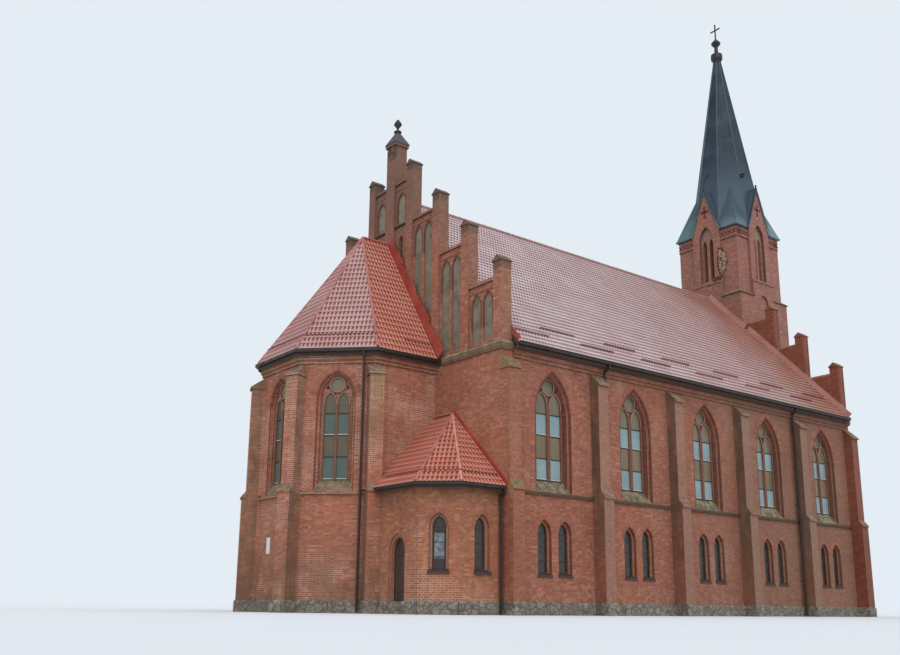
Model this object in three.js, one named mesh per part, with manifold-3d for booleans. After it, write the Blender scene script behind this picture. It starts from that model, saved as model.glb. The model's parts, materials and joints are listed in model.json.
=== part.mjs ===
// Brick church with stepped gables, a polygonal apse, a sacristy and a spired west tower.
// Millimetres. X runs across the nave, Y along it from the apse to the tower, Z up.
// The origin is the middle of the outer box, at ground level.
import * as THREE from 'three';
import { ConvexGeometry } from 'three/addons/geometries/ConvexGeometry.js';
import { mergeVertices } from 'three/addons/utils/BufferGeometryUtils.js';
import Module from 'manifold-3d';

const wasm = await Module();
wasm.setup();

// Driving sizes of the whole building
const GAP = 0.3;
const EAVE = 10000;
const FLOOR = 440;
const STRING = 4450;

// Nave
const NAVE_HALF = 7700;
const NAVE_LENGTH = 24000;
const WALL = 620;
const END_WALL = 560;
const BAYS = 5;
const ROOF_EDGE = 8050;
const RIDGE = 18470;
const ROOF_DEPTH = 232;
const WALL_TOP = 10130;
const CORNICE_FOOT = 9690;
const GABLE_FOOT = 10030;

// Buttresses: half width, and how far they stand out below and above the string course
const BUTTRESS_HALF = 280;
const BUTTRESS_LOW = 610;
const BUTTRESS_HIGH = 450;
const BUTTRESS_DRIP = 8900;
const SETOFF_RISE = 270;
const CAP_RISE = 500;
const PLINTH_OUT = 60;
const PLINTH_TOP = 460;

// How far a part that is added reaches into the one it joins
const BITE = 20;

// Stepped gables: distance of each pinnacle from the axis, its cap level, and the coping level inside it
const EAST_STEPS = [
  { at: 1500, cap: 19520, coping: 18980 },
  { at: 3480, cap: 17390, coping: 16850 },
  { at: 5450, cap: 15310, coping: 14660 },
  { at: 7460, cap: 13220, coping: 12630 },
];
const WEST_STEPS = [
  { at: 3850, cap: 16900, coping: 16400 },
  { at: 5570, cap: 14930, coping: 14480 },
  { at: 7460, cap: 12850, coping: 12450 },
];
const GABLE_DEEP = 510;
const PINNACLE_HALF = 240;
const PANEL_BACK = 100;
const COPING_SET = 20;
const COPING_THICK = 110;
const NICHE_HALF = 270;
const NICHE_RISE = 480;
const NICHE_APART = 350;
const NICHE_DEPTH = 150;
const NICHE_FOOT = 10250;
const NICHE_UNDER_COPING = 450;
const LONE_NICHE = { half: 300, foot: 16830, apex: 18400 };
const SLIT = { half: 140, foot: 15300, spring: 16140, apex: 16380 };

// Middle pinnacle of the east gable, square on plan, with a pyramid roof and a knob
const MIDDLE_HALF = 325;
const MIDDLE_TOP = 21070;
const MIDDLE_APEX = 21900;
const KNOB_TOP = 22450;

// Apse: half of an eight-sided plan
const APSE_Y = -1400;
const APSE_IN = 3650;
const APSE_WALL = 600;
const APSE_EDGE = 3880;
const APSE_GUTTER = 120;
const APSE_APEX = 16100;
const APSE_ROOF_DEPTH = 290;
const HALF_TURN_8 = Math.PI / 8;

// Sacristy
const ANNEX_FRONT = 2950;
const ANNEX_CORNER = 1000;
const ANNEX_WALL = 400;
const ANNEX_EAVE = 4500;
const ANNEX_APEX = 7610;
const ANNEX_APEX_X = 4810;
const ANNEX_OVERHANG = 250;
const ANNEX_ROOF_DEPTH = 200;
const ANNEX_GUTTER = 110;
const OVER_DOOR = 2150;
const DOOR_X = 5400;
const DOOR_HALF = 490;
const DOOR_THICK = 60;
const DOOR_SPRING = 2180;
const DOOR_APEX = 2760;
const DOOR_CLEAR = 10;
const DOOR_REBATE = DOOR_HALF + DOOR_CLEAR;
const DOOR_STOP = 220;
const DOOR_WAY = 430;

// Door hinges: pins on the wall, eyes on the leaf, on one upright line inside the leaf
const HINGE_IN = 10;
const HINGE_BEHIND = 15;
const HINGE_LEVELS = [700, 1980];
const PIN_RADIUS = 7.5;
const EYE_HOLE = 7.9;
const EYE_RADIUS = 14;
const EYE_TALL = 60;

// Tower
const TOWER_Y = 25490;
const TOWER_ARCH = 1000;
const SHAFT_HALF = 2300;
const SHAFT_WALL = 650;
const SHAFT_TOP = 18350;
const BELFRY_HALF = 2090;
const BELFRY_FOOT = 18620;
const BELFRY_TOP = 22670;
const BELFRY_WALL = 440;
const BAY_HALF = 980;
const BAY_OUT = 130;
const BAY_APEX = 25280;
const GABLET_APEX = 25580;
const SPIRE_HALF = 2250;
const SPIRE_ROOT = 2170;
const SPIRE_TOP = 35200;
const SPIRE_TOP_IN = 220;
const SPIRE_DEPTH = 420;
const BROACH_TOP = 25650;
const FINIAL_TOP = 38040;

// How far the outermost buttress and the tower reach, which sets the origin
const APSE_REACH = APSE_IN / Math.cos(HALF_TURN_8) + BUTTRESS_LOW + PLINTH_OUT;
const EAST_END = APSE_Y - APSE_REACH * Math.cos(HALF_TURN_8)
  - (BUTTRESS_HALF + PLINTH_OUT) * Math.sin(HALF_TURN_8);
const WEST_END = TOWER_Y + SHAFT_HALF + PLINTH_OUT;
const MIDDLE_Y = (EAST_END + WEST_END) / 2;

// Materials
function finish(color, roughness, metalness = 0) {
  return new THREE.MeshStandardMaterial({ color, roughness, metalness });
}

const BRICK = finish(0x9a5f4c, 0.9);
const STONE = finish(0x7d7a72, 0.95);
const TILE = finish(0x9b5a50, 0.45, 0.1);
const METAL = finish(0x2f2b29, 0.5, 0.4);
const COPPER = finish(0x51666c, 0.55, 0.3);
const GLASS = finish(0x87a3a8, 0.2);
const TIMBER = finish(0x4b3527, 0.7);

const church = new THREE.Group();
church.position.y = -MIDDLE_Y;

// Solids
function toSolid(geometry) {
  const bare = geometry.clone();
  bare.deleteAttribute('normal');
  bare.deleteAttribute('uv');
  const merged = mergeVertices(bare, 0.001);
  return new wasm.Manifold(new wasm.Mesh({
    numProp: 3,
    vertProperties: new Float32Array(merged.attributes.position.array),
    triVerts: new Uint32Array(merged.index.array),
  }));
}

function toGeometry(solid) {
  const mesh = solid.getMesh();
  const geometry = new THREE.BufferGeometry();
  geometry.setAttribute('position', new THREE.BufferAttribute(mesh.vertProperties, 3));
  geometry.setIndex(new THREE.BufferAttribute(mesh.triVerts, 1));
  const flat = geometry.toNonIndexed();
  flat.computeVertexNormals();
  return flat;
}

function joined(parts) {
  return parts.reduce((whole, part) => whole.add(part));
}

function without(solid, cuts) {
  return cuts.reduce((rest, cut) => rest.subtract(cut), solid);
}

function addPiece(name, solid, material, frame = new THREE.Matrix4()) {
  const mesh = new THREE.Mesh(toGeometry(solid), material);
  mesh.name = name;
  frame.decompose(mesh.position, mesh.quaternion, mesh.scale);
  church.add(mesh);
  return mesh;
}

// A wall's own frame: u to the right as seen from outside, v up, w outward
function facing(x, y, angle) {
  const right = new THREE.Vector3(-Math.sin(angle), Math.cos(angle), 0);
  const up = new THREE.Vector3(0, 0, 1);
  const out = new THREE.Vector3(Math.cos(angle), Math.sin(angle), 0);
  return new THREE.Matrix4().makeBasis(right, up, out).setPosition(x, y, 0);
}

const EAST = -Math.PI / 2;
const WEST = Math.PI / 2;

function shapeOf(points) {
  return new THREE.Shape(points.map(([x, y]) => new THREE.Vector2(x, y)));
}

// Outline in u and v, running from w = from to w = to
function panel(points, from, to) {
  const geometry = new THREE.ExtrudeGeometry(shapeOf(points), { depth: to - from, bevelEnabled: false });
  geometry.translate(0, 0, from);
  return toSolid(geometry);
}

// Profile in w and v, running along the wall from u = from to u = to
function moulding(points, from, to) {
  const geometry = new THREE.ExtrudeGeometry(shapeOf(points), { depth: to - from, bevelEnabled: false });
  const turn = new THREE.Matrix4().makeBasis(
    new THREE.Vector3(0, 0, 1), new THREE.Vector3(0, 1, 0), new THREE.Vector3(-1, 0, 0));
  geometry.applyMatrix4(turn);
  geometry.translate(to, 0, 0);
  return toSolid(geometry);
}

// Plan in x and y, standing from z = from to z = to
function standing(points, from, to) {
  const geometry = new THREE.ExtrudeGeometry(shapeOf(points), { depth: to - from, bevelEnabled: false });
  geometry.translate(0, 0, from);
  return toSolid(geometry);
}

// The same for a plan in u and depth behind the wall's face
function standingBehind(points, from, to) {
  const geometry = new THREE.ExtrudeGeometry(shapeOf(points), { depth: to - from, bevelEnabled: false });
  const turn = new THREE.Matrix4().makeBasis(
    new THREE.Vector3(1, 0, 0), new THREE.Vector3(0, 0, -1), new THREE.Vector3(0, 1, 0));
  geometry.applyMatrix4(turn);
  geometry.translate(0, from, 0);
  return toSolid(geometry);
}

function hull(points) {
  return toSolid(new ConvexGeometry(points.map(([x, y, z]) => new THREE.Vector3(x, y, z))));
}

const rect = (x0, y0, x1, y1) => [[x0, y0], [x1, y0], [x1, y1], [x0, y1]];

// Pointed opening: two arcs that meet at the apex, each of the given number of straight steps
function pointed(centre, half, foot, spring, apex, steps = 3) {
  const rise = apex - spring;
  const radius = (half * half + rise * rise) / (2 * half);
  const sweep = Math.asin(rise / radius);
  const points = [[centre - half, foot], [centre + half, foot]];
  for (let i = 0; i <= steps; i += 1) {
    const angle = sweep * i / steps;
    points.push([centre + half - radius + radius * Math.cos(angle), spring + radius * Math.sin(angle)]);
  }
  for (let i = steps - 1; i >= 0; i -= 1) {
    const angle = sweep * i / steps;
    points.push([centre - half + radius - radius * Math.cos(angle), spring + radius * Math.sin(angle)]);
  }
  return points;
}

function round(centre, height, radius, steps = 8) {
  return Array.from({ length: steps }, (_, i) => {
    const angle = 2 * Math.PI * (i + 0.5) / steps;
    return [centre + radius * Math.cos(angle), height + radius * Math.sin(angle)];
  });
}

// Two-light windows: half widths of the outer and inner arch, of a light and of the eye, and their levels
const WINDOW_FOOT = 4420;
const LIGHT_FOOT = 4980;
const ORDER_DEPTH = 130;
const NAVE_WINDOW = {
  outer: 930, inner: 800, spring: 7600, apex: 9200, innerApex: 9060, plane: 340,
  light: 268, apart: 355, lightSpring: 7830, lightApex: 8280, eye: 255, eyeAt: 8650,
};
const APSE_WINDOW = {
  outer: 750, inner: 620, spring: 8150, apex: 9150, innerApex: 9020, plane: 220,
  light: 200, apart: 258, lightSpring: 7950, lightApex: 8310, eye: 250, eyeAt: 8620,
};

function bigWindow(centre, wall, size, lift = 0) {
  const z = (height) => height + lift;
  const back = -wall - 10;
  const front = -size.plane + 10;
  const arch = (half, apex) => pointed(centre, half, z(WINDOW_FOOT), z(size.spring), z(apex));
  const cuts = [
    panel(arch(size.outer, size.apex), -ORDER_DEPTH, 10),
    panel(arch(size.inner, size.innerApex), -size.plane, 10),
    panel(round(centre, z(size.eyeAt), size.eye), back, front),
  ];
  for (const side of [-1, 1]) {
    const middle = centre + side * size.apart;
    const light = pointed(middle, size.light, z(LIGHT_FOOT), z(size.lightSpring), z(size.lightApex));
    cuts.push(panel(light, back, front));
  }
  const deep = -size.plane - 5;
  const low = z(WINDOW_FOOT - 120);
  const sill = [[-5, low], [-5, z(WINDOW_FOOT + 20)], [deep, z(LIGHT_FOOT - 15)], [deep, low]];
  return { cuts, adds: [moulding(sill, centre - size.outer - 20, centre + size.outer + 20)] };
}

// Small pointed window with a stepped reveal and a sloping sill
const SMALL_FOOT = 1400;
const SMALL_APEX = 3480;
const SMALL_RISE = 480;
const SMALL_OUTER = 350;
const SMALL_INNER = 240;

function smallWindow(centre, wall) {
  const spring = SMALL_APEX - SMALL_RISE;
  const cuts = [
    panel(pointed(centre, SMALL_OUTER, SMALL_FOOT, spring, SMALL_APEX, 2), -ORDER_DEPTH, 10),
    panel(pointed(centre, SMALL_INNER, SMALL_FOOT, spring, SMALL_APEX - 130, 2), -wall - 10, 10),
  ];
  const low = SMALL_FOOT - 60;
  const sill = [[-5, low], [-5, SMALL_FOOT + 20], [-wall + 5, SMALL_FOOT + 260], [-wall + 5, low]];
  return { cuts, adds: [moulding(sill, centre - SMALL_OUTER - 10, centre + SMALL_OUTER + 10)] };
}

function pierced(solid, windows) {
  const cut = without(solid, windows.flatMap((one) => one.cuts));
  return joined([cut, ...windows.flatMap((one) => one.adds)]);
}

// Bands that run along a wall: plinth, string course, and the brick cornice under the eaves
const STRING_OUT = 80;
const CORNICE_OUT = 120;
const CORNICE_BAND = [9430, 9560, 9880];
const plinthProfile = [[-BITE, 0], [PLINTH_OUT, 0], [PLINTH_OUT, PLINTH_TOP - 60], [-BITE, PLINTH_TOP]];
const stringProfile = [[-BITE, STRING - 100], [STRING_OUT, STRING - 100], [STRING_OUT, STRING - 40],
  [-BITE, STRING + 50]];
const corniceProfile = [[-BITE, CORNICE_BAND[0]], [CORNICE_OUT / 2, CORNICE_BAND[0]],
  [CORNICE_OUT / 2, CORNICE_BAND[1]], [CORNICE_OUT, CORNICE_BAND[1]], [CORNICE_OUT, CORNICE_BAND[2]],
  [-BITE, CORNICE_BAND[2]]];
const plinthBand = (from, to) => moulding(plinthProfile, from, to);
const stringBand = (from, to) => moulding(stringProfile, from, to);
const corniceBand = (from, to) => moulding(corniceProfile, from, to);

// Outlines of a buttress with a mid set-off and a sloping cap, out from a wall face at base
function buttressOutlines(base, back) {
  const low = base + BUTTRESS_LOW;
  const high = base + BUTTRESS_HIGH;
  return {
    body: [[back, 0], [low, 0], [low, STRING], [high, STRING + SETOFF_RISE], [high, BUTTRESS_DRIP + 40],
      [back, BUTTRESS_DRIP + CAP_RISE + 20]],
    plinth: [[back, 0], [low + PLINTH_OUT, 0], [low + PLINTH_OUT, PLINTH_TOP - 60], [low, PLINTH_TOP],
      [back, PLINTH_TOP]],
    setoff: [[high - 30, STRING + SETOFF_RISE + 30], [low + 50, STRING + 10], [low + 50, STRING - 60],
      [high - 30, STRING - 60]],
    cap: [[back, BUTTRESS_DRIP + CAP_RISE + 70], [high + 70, BUTTRESS_DRIP + 70], [high + 70, BUTTRESS_DRIP],
      [back, BUTTRESS_DRIP]],
  };
}

function buttress(centre, back = -BITE) {
  const { body, plinth, setoff, cap } = buttressOutlines(0, back);
  const across = (outline, half) => moulding(outline, centre - half, centre + half);
  return joined([
    across(body, BUTTRESS_HALF), across(plinth, BUTTRESS_HALF + PLINTH_OUT),
    across(setoff, BUTTRESS_HALF + 30), across(cap, BUTTRESS_HALF + 40),
  ]);
}

// Nave side walls, one node for each bay, each with the buttress at its east side
const BAY = (NAVE_LENGTH - 2 * BUTTRESS_HALF) / BAYS;
const bayMiddle = (bay) => BUTTRESS_HALF + BAY * (bay + 0.5);
const SMALL_AT = 530;

function naveBay(side, bay) {
  const first = bay === 0;
  const last = bay === BAYS - 1;
  const east = first ? END_WALL + GAP - bayMiddle(bay) : -BAY / 2 - BUTTRESS_HALF;
  const west = last ? NAVE_LENGTH - END_WALL - GAP - bayMiddle(bay) : BAY / 2 - BUTTRESS_HALF - GAP;
  const from = side > 0 ? east : -west;
  const to = side > 0 ? west : -east;
  const solid = panel(rect(from, 0, to, WALL_TOP), -WALL, 0);
  const small = [-SMALL_AT, SMALL_AT].map((at) => smallWindow(at, WALL));
  const windows = [bigWindow(0, WALL, NAVE_WINDOW), ...small];
  const parts = [pierced(solid, windows), plinthBand(from, to), stringBand(from, to), corniceBand(from, to)];
  if (!first) {
    parts.push(buttress(side * (-BAY / 2)));
  }
  const ends = panel(rect(from, -10, to, WALL_TOP + 10), -WALL - 10, 2000);
  return joined(parts).intersect(ends);
}

for (const [side, label] of [[1, 'right'], [-1, 'left']]) {
  for (let bay = 0; bay < BAYS; bay += 1) {
    const frame = facing(side * NAVE_HALF, bayMiddle(bay), side > 0 ? 0 : Math.PI);
    addPiece(`nave_wall_${label}_${bay + 1}`, naveBay(side, bay), BRICK, frame);
  }
}

// Stepped gable above the cornice, from the axis or from the tower's side outward
const span = (side, from, to) => (side > 0 ? [from, to] : [-to, -from]);

function gableCap(at, level) {
  const reach = PINNACLE_HALF + 40;
  const outline = [[at - reach, level], [at + reach, level], [at + reach, level + 40], [at, level + 260],
    [at - reach, level + 40]];
  return panel(outline, -GABLE_DEEP - 35, 35);
}

function niche(at, half, foot, apex) {
  return panel(pointed(at, half, foot, apex - NICHE_RISE, apex, 2), -PANEL_BACK - NICHE_DEPTH, 10);
}

function gableStep(step, side, from, start, nicheFoot) {
  const to = step.at - PINNACLE_HALF;
  const middle = (from + to) / 2;
  const top = step.coping;
  const [left, right] = span(side, start, to + BITE);
  const body = panel(rect(left, GABLE_FOOT, right, top - 60), -GABLE_DEEP, -PANEL_BACK);
  const cope = moulding([[-COPING_SET, top - COPING_THICK], [-COPING_SET, top], [-GABLE_DEEP / 2, top + 150],
    [-GABLE_DEEP, top], [-GABLE_DEEP, top - COPING_THICK]], left, right);
  const apart = Math.min(NICHE_APART, (to - from) / 2 - NICHE_HALF - 30);
  if (apart < NICHE_HALF) {
    const slit = pointed(side * middle, SLIT.half, SLIT.foot, SLIT.spring, SLIT.apex, 2);
    const lone = niche(side * middle, LONE_NICHE.half, LONE_NICHE.foot, LONE_NICHE.apex);
    return [without(body, [lone, panel(slit, -GABLE_DEEP - 10, 10)]), cope];
  }
  const apex = top - NICHE_UNDER_COPING;
  const pair = [middle - apart, middle + apart];
  return [without(body, pair.map((at) => niche(side * at, NICHE_HALF, nicheFoot(at), apex))), cope];
}

function stoneCornice(side, from) {
  const foot = CORNICE_FOOT;
  const edge = [[50, foot], [100, foot + 100], [100, GABLE_FOOT - 80], [-BITE, GABLE_FOOT + 20]];
  const [left, right] = span(side, from, NAVE_HALF + 100);
  const front = moulding([[-END_WALL, foot], ...edge, [-END_WALL, GABLE_FOOT + 20]], left, right);
  const outline = [[from, foot], ...edge.map(([out, z]) => [NAVE_HALF + out, z]), [from, GABLE_FOOT + 20]];
  return front.intersect(panel(outline.map(([u, z]) => [side * u, z]), -END_WALL, 100));
}

function gable({ steps, sides, inner, start, nicheFoot, corniceFrom }) {
  const parts = [];
  for (const side of sides) {
    steps.forEach((step, index) => {
      const from = index === 0 ? inner : steps[index - 1].at + PINNACLE_HALF;
      const at = side * step.at;
      const shaft = rect(at - PINNACLE_HALF, GABLE_FOOT - BITE, at + PINNACLE_HALF, step.cap + BITE);
      parts.push(...gableStep(step, side, from, index === 0 ? start : from - BITE, nicheFoot));
      parts.push(panel(shaft, -GABLE_DEEP, 0), gableCap(at, step.cap));
    });
    const [left, right] = span(side, start, NAVE_HALF);
    parts.push(panel(rect(left, CORNICE_FOOT, right, GABLE_FOOT + 5), -END_WALL, -PANEL_BACK));
    parts.push(stoneCornice(side, corniceFrom));
  }
  return parts;
}

// A body turned on an upright axis, from radius and level pairs
function turned(profile, x, y, sides) {
  const body = new THREE.LatheGeometry(profile.map(([r, z]) => new THREE.Vector2(r, z)), sides);
  body.translate(x, 0, y);
  return toSolid(body);
}

function middlePinnacle() {
  const half = MIDDLE_HALF;
  const square = (out, from, to) => panel(rect(-half - out, from, half + out, to), -2 * half - out, out);
  const eave = half + 85;
  const corners = [[-eave, eave], [eave, eave], [eave, -eave], [-eave, -eave]];
  const ring = (z) => corners.map(([u, w]) => [u, z, w - half]);
  const roof = hull([...ring(MIDDLE_TOP), ...ring(MIDDLE_TOP + 50), [0, MIDDLE_APEX, -half]]);
  const collar = MIDDLE_APEX - 130;
  const knob = turned([[0, collar], [190, collar], [180, collar + 50], [50, collar + 110], [45, collar + 190],
    [190, collar + 400], [180, collar + 450], [60, KNOB_TOP - 40], [0, KNOB_TOP]], 0, -half, 8);
  return [
    panel(rect(-half, CORNICE_FOOT, half, RIDGE + 200), -GABLE_DEEP, 0),
    square(0, RIDGE + 180, MIDDLE_TOP + 10), square(60, MIDDLE_TOP - 140, MIDDLE_TOP + 10), roof, knob,
  ];
}

const apseRoofAt = (x) => APSE_APEX - (APSE_APEX - EAVE) * Math.abs(x) / APSE_EDGE;
const eastNicheFoot = (at) => Math.max(NICHE_FOOT, apseRoofAt(at - NICHE_HALF) + 200);
const eastGable = gable({
  steps: EAST_STEPS, sides: [-1, 1], inner: MIDDLE_HALF, start: MIDDLE_HALF - BITE, nicheFoot: eastNicheFoot,
  corniceFrom: APSE_EDGE + 280,
});
const eastFrame = facing(0, 0, EAST);
addPiece('east_gable', joined([...eastGable, ...middlePinnacle()]), BRICK, eastFrame);

// East wall below the gable: a corner buttress at each end, and the chancel arch
function endButtress(side) {
  const { body, plinth, setoff, cap } = buttressOutlines(NAVE_HALF, NAVE_HALF - BITE);
  const block = (outline, front) => panel(outline.map(([u, z]) => [side * u, z]), -END_WALL, front);
  return [block(body, 0), block(plinth, 0), block(setoff, 0), block(cap, 40)];
}

const ARCH_HALF = 3000;
const chancelArch = panel(pointed(0, ARCH_HALF, -10, 5200, 9000, 6), -END_WALL - 10, 10);
const eastWall = joined([
  panel(rect(-NAVE_HALF, 0, NAVE_HALF, CORNICE_FOOT - GAP), -END_WALL, 0),
  ...endButtress(1), ...endButtress(-1),
]);
addPiece('east_wall', eastWall.subtract(chancelArch), BRICK, eastFrame);

// West wall on each side of the tower, with its half of the stepped gable
const westFrame = facing(0, NAVE_LENGTH, WEST);
for (const [side, label] of [[-1, 'right'], [1, 'left']]) {
  const inner = SHAFT_HALF + GAP;
  const [left, right] = span(side, inner, NAVE_HALF);
  const [plinthLeft, plinthRight] = span(side, inner + PLINTH_OUT, NAVE_HALF);
  const steps = gable({
    steps: WEST_STEPS, sides: [side], inner, start: inner, nicheFoot: () => NICHE_FOOT,
    corniceFrom: inner + PLINTH_OUT,
  });
  const parts = [
    panel(rect(left, 0, right, CORNICE_FOOT + 10), -END_WALL, 0), ...endButtress(side), ...steps,
    plinthBand(plinthLeft, plinthRight),
  ];
  addPiece(`west_wall_${label}`, joined(parts), BRICK, westFrame);
}

// Nave roof: two slopes and the ridge cap, notched round the tower
function naveRoof() {
  const slope = (RIDGE - EAVE) / ROOF_EDGE;
  const at = (x) => RIDGE - slope * x;
  const cap = 210;
  const from = GABLE_DEEP + GAP;
  const to = NAVE_LENGTH - GABLE_DEEP - GAP;
  const outline = [[-ROOF_EDGE, EAVE - ROOF_DEPTH], [0, RIDGE - ROOF_DEPTH], [ROOF_EDGE, EAVE - ROOF_DEPTH],
    [ROOF_EDGE, EAVE], [cap, at(cap)], [cap, at(cap) + 60], [0, RIDGE + 60], [-cap, at(cap) + 60],
    [-cap, at(cap)], [-ROOF_EDGE, EAVE]];
  const roof = panel(outline, -to, -from);
  const notch = panel(rect(-SHAFT_HALF - GAP, EAVE, SHAFT_HALF + GAP, RIDGE + 500),
    -to - 10, -(TOWER_Y - SHAFT_HALF - GAP));
  return roof.subtract(notch);
}

addPiece('nave_roof', naveRoof(), TILE, eastFrame);

// Gutters are open troughs; the downpipes join them
const GUTTER = 150;
const GUTTER_DEEP = 150;
const LIP = 20;

function trough(from, to, inner, level) {
  const floor = level - GUTTER_DEEP;
  const outer = inner + GUTTER;
  const top = level - LIP;
  const outline = [[inner, floor], [outer, floor], [outer, top], [outer - 25, top], [outer - 25, floor + 25],
    [inner + 25, floor + 25], [inner + 25, top], [inner, top]];
  return moulding(outline, from, to);
}

// From the gutter's floor back to the wall, and down to the ground; distances out from the wall's face
const PIPE_RADIUS = 50;
const PIPE_FOOT = 50;

function downpipe(along, out, gutterOut, floor) {
  const half = 40;
  const high = [gutterOut - half, gutterOut + half];
  const low = [out - half, out + half];
  const neck = [[high[0], floor + 10], [high[1], floor + 10], [high[1], floor - 150], [low[1], floor - 290],
    [low[0], floor - 290], [low[0], floor - 210], [high[0], floor - 150]];
  const tall = floor - 250 - PIPE_FOOT;
  const pipe = new THREE.CylinderGeometry(PIPE_RADIUS, PIPE_RADIUS, tall, 8);
  pipe.translate(along, PIPE_FOOT + tall / 2, out);
  return [moulding(neck, along - half, along + half), toSolid(pipe)];
}

const PIPE_OUT = 190;
for (const [side, label] of [[1, 'right'], [-1, 'left']]) {
  const frame = facing(0, 0, side > 0 ? 0 : Math.PI);
  const [from, to] = span(side, GABLE_DEEP + GAP, NAVE_LENGTH - GABLE_DEEP - GAP);
  const parts = [trough(from, to, ROOF_EDGE + GAP, EAVE)];
  for (const [bay, past] of [[0, 1], [3, -1]]) {
    const along = side * (bayMiddle(bay) + BAY / 2 + past * (BUTTRESS_HALF + 130));
    parts.push(...downpipe(along, NAVE_HALF + PIPE_OUT, ROOF_EDGE + GUTTER / 2, EAVE - GUTTER_DEEP));
  }
  addPiece(`nave_gutter_${label}`, joined(parts), METAL, frame);
}

// Window glass of the nave, one sheet for each storey on the inner face of each side wall
const GLASS_THICK = 20;
const UPPER_GLASS = [4900, 8980];
const LOWER_GLASS = [1300, 3420];
for (const [side, label] of [[1, 'right'], [-1, 'left']]) {
  const frame = facing(side * (NAVE_HALF - WALL), NAVE_LENGTH / 2, side > 0 ? 0 : Math.PI);
  const reach = NAVE_LENGTH / 2 - END_WALL - 100;
  const sheet = ([foot, top]) => panel(rect(-reach, foot, reach, top), -GLASS_THICK, -GAP);
  addPiece(`nave_glass_upper_${label}`, sheet(UPPER_GLASS), GLASS, frame);
  addPiece(`nave_glass_lower_${label}`, sheet(LOWER_GLASS), GLASS, frame);
}

// Apse walls: five faces of an octagon with mitred ends
const apseHalf = (inward) => inward * Math.tan(HALF_TURN_8);
const APSE_FACES = [
  { name: 'side_right', angle: 0 },
  { name: 'diagonal_right', angle: -Math.PI / 4 },
  { name: 'end', angle: -Math.PI / 2 },
  { name: 'diagonal_left', angle: -3 * Math.PI / 4 },
  { name: 'side_left', angle: Math.PI },
];

function apseFace(face) {
  const proud = 200;
  const half = (depth) => apseHalf(APSE_IN - depth) - 0.2;
  const stop = -APSE_Y - GAP;
  const west = face.name === 'side_right' ? 1 : face.name === 'side_left' ? -1 : 0;
  const right = (depth) => (west > 0 ? stop : half(depth));
  const left = (depth) => (west < 0 ? -stop : -half(depth));
  const plan = (outer) => [[left(outer), outer], [right(outer), outer], [right(APSE_WALL), APSE_WALL],
    [left(APSE_WALL), APSE_WALL]];
  const body = standingBehind(plan(0), 0, EAVE);
  const clip = standingBehind(plan(-proud), -10, EAVE + 10);
  const windows = face.name === 'side_right' ? [] : [bigWindow(0, APSE_WALL, APSE_WINDOW)];
  const parts = [pierced(body, windows), corniceBand(left(-proud), right(-proud))];
  if (face.name !== 'side_right') {
    parts.push(plinthBand(left(-proud), right(-proud)), stringBand(left(-proud), right(-proud)));
  }
  return joined(parts).intersect(clip);
}

for (const face of APSE_FACES) {
  const frame = facing(APSE_IN * Math.cos(face.angle), APSE_Y + APSE_IN * Math.sin(face.angle), face.angle);
  addPiece(`apse_wall_${face.name}`, apseFace(face), BRICK, frame);
}

// Apse buttresses stand on the corners, square to the bisector
const CORNER_AT = APSE_IN / Math.cos(HALF_TURN_8);
const APSE_CORNERS = [
  { name: 'right', angle: -HALF_TURN_8 },
  { name: 'end_right', angle: -3 * HALF_TURN_8 },
  { name: 'end_left', angle: -5 * HALF_TURN_8 },
  { name: 'left', angle: -7 * HALF_TURN_8 },
];

function octagon(apothem, centre, from, to) {
  const radius = apothem / Math.cos(HALF_TURN_8);
  const points = Array.from({ length: 8 }, (_, i) => {
    const angle = HALF_TURN_8 + i * Math.PI / 4;
    return [centre[0] + radius * Math.cos(angle), centre[1] + radius * Math.sin(angle)];
  });
  return standing(points, from, to);
}

function moved(solid, frame) {
  const geometry = toGeometry(solid);
  geometry.applyMatrix4(frame);
  return toSolid(geometry);
}

const apseFrame = (angle, out) => facing(out * Math.cos(angle), APSE_Y + out * Math.sin(angle), angle);

function apseButtress(angle) {
  const ring = (out, from, to) => octagon(APSE_IN + out + GAP, [0, APSE_Y], from, to);
  const walls = [
    ring(0, -10, EAVE + 100), ring(PLINTH_OUT, -10, PLINTH_TOP), ring(STRING_OUT, STRING - 100, STRING + 50),
    ring(CORNICE_OUT, CORNICE_BAND[0], CORNICE_BAND[2]),
  ];
  return without(moved(buttress(0, -200), apseFrame(angle, CORNER_AT)), walls);
}

for (const corner of APSE_CORNERS) {
  addPiece(`apse_buttress_${corner.name}`, apseButtress(corner.angle), BRICK);
}

// Apse roof: steep half-octagon hip with a short ridge into the gable, made as a shell
function apseRoofBody(drop) {
  const corner = APSE_EDGE / Math.cos(HALF_TURN_8);
  const eaves = [-1, -3, -5, -7].map((k) => [corner * Math.cos(k * HALF_TURN_8),
    APSE_Y + corner * Math.sin(k * HALF_TURN_8)]);
  const low = [[APSE_EDGE, -GAP], ...eaves, [-APSE_EDGE, -GAP]];
  return hull([
    ...low.map(([x, y]) => [x, y, EAVE - drop]), [0, APSE_Y, APSE_APEX - drop], [0, -GAP, APSE_APEX - drop],
  ]);
}

function apseRoof() {
  const edge = octagon(APSE_EDGE, [0, APSE_Y], EAVE - APSE_ROOF_DEPTH, EAVE + 1)
    .intersect(standing(rect(-9000, -9000, 9000, -GAP), 0, 20000));
  const stretch = standing(rect(-APSE_EDGE, APSE_Y, APSE_EDGE, -GAP), EAVE - APSE_ROOF_DEPTH, EAVE + 1);
  const outer = joined([apseRoofBody(0), edge, stretch]);
  const inner = joined([apseRoofBody(APSE_ROOF_DEPTH),
    moved(apseRoofBody(APSE_ROOF_DEPTH), new THREE.Matrix4().makeTranslation(0, 200, 0))]);
  return outer.subtract(inner);
}

addPiece('apse_roof', apseRoof(), TILE);

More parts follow.
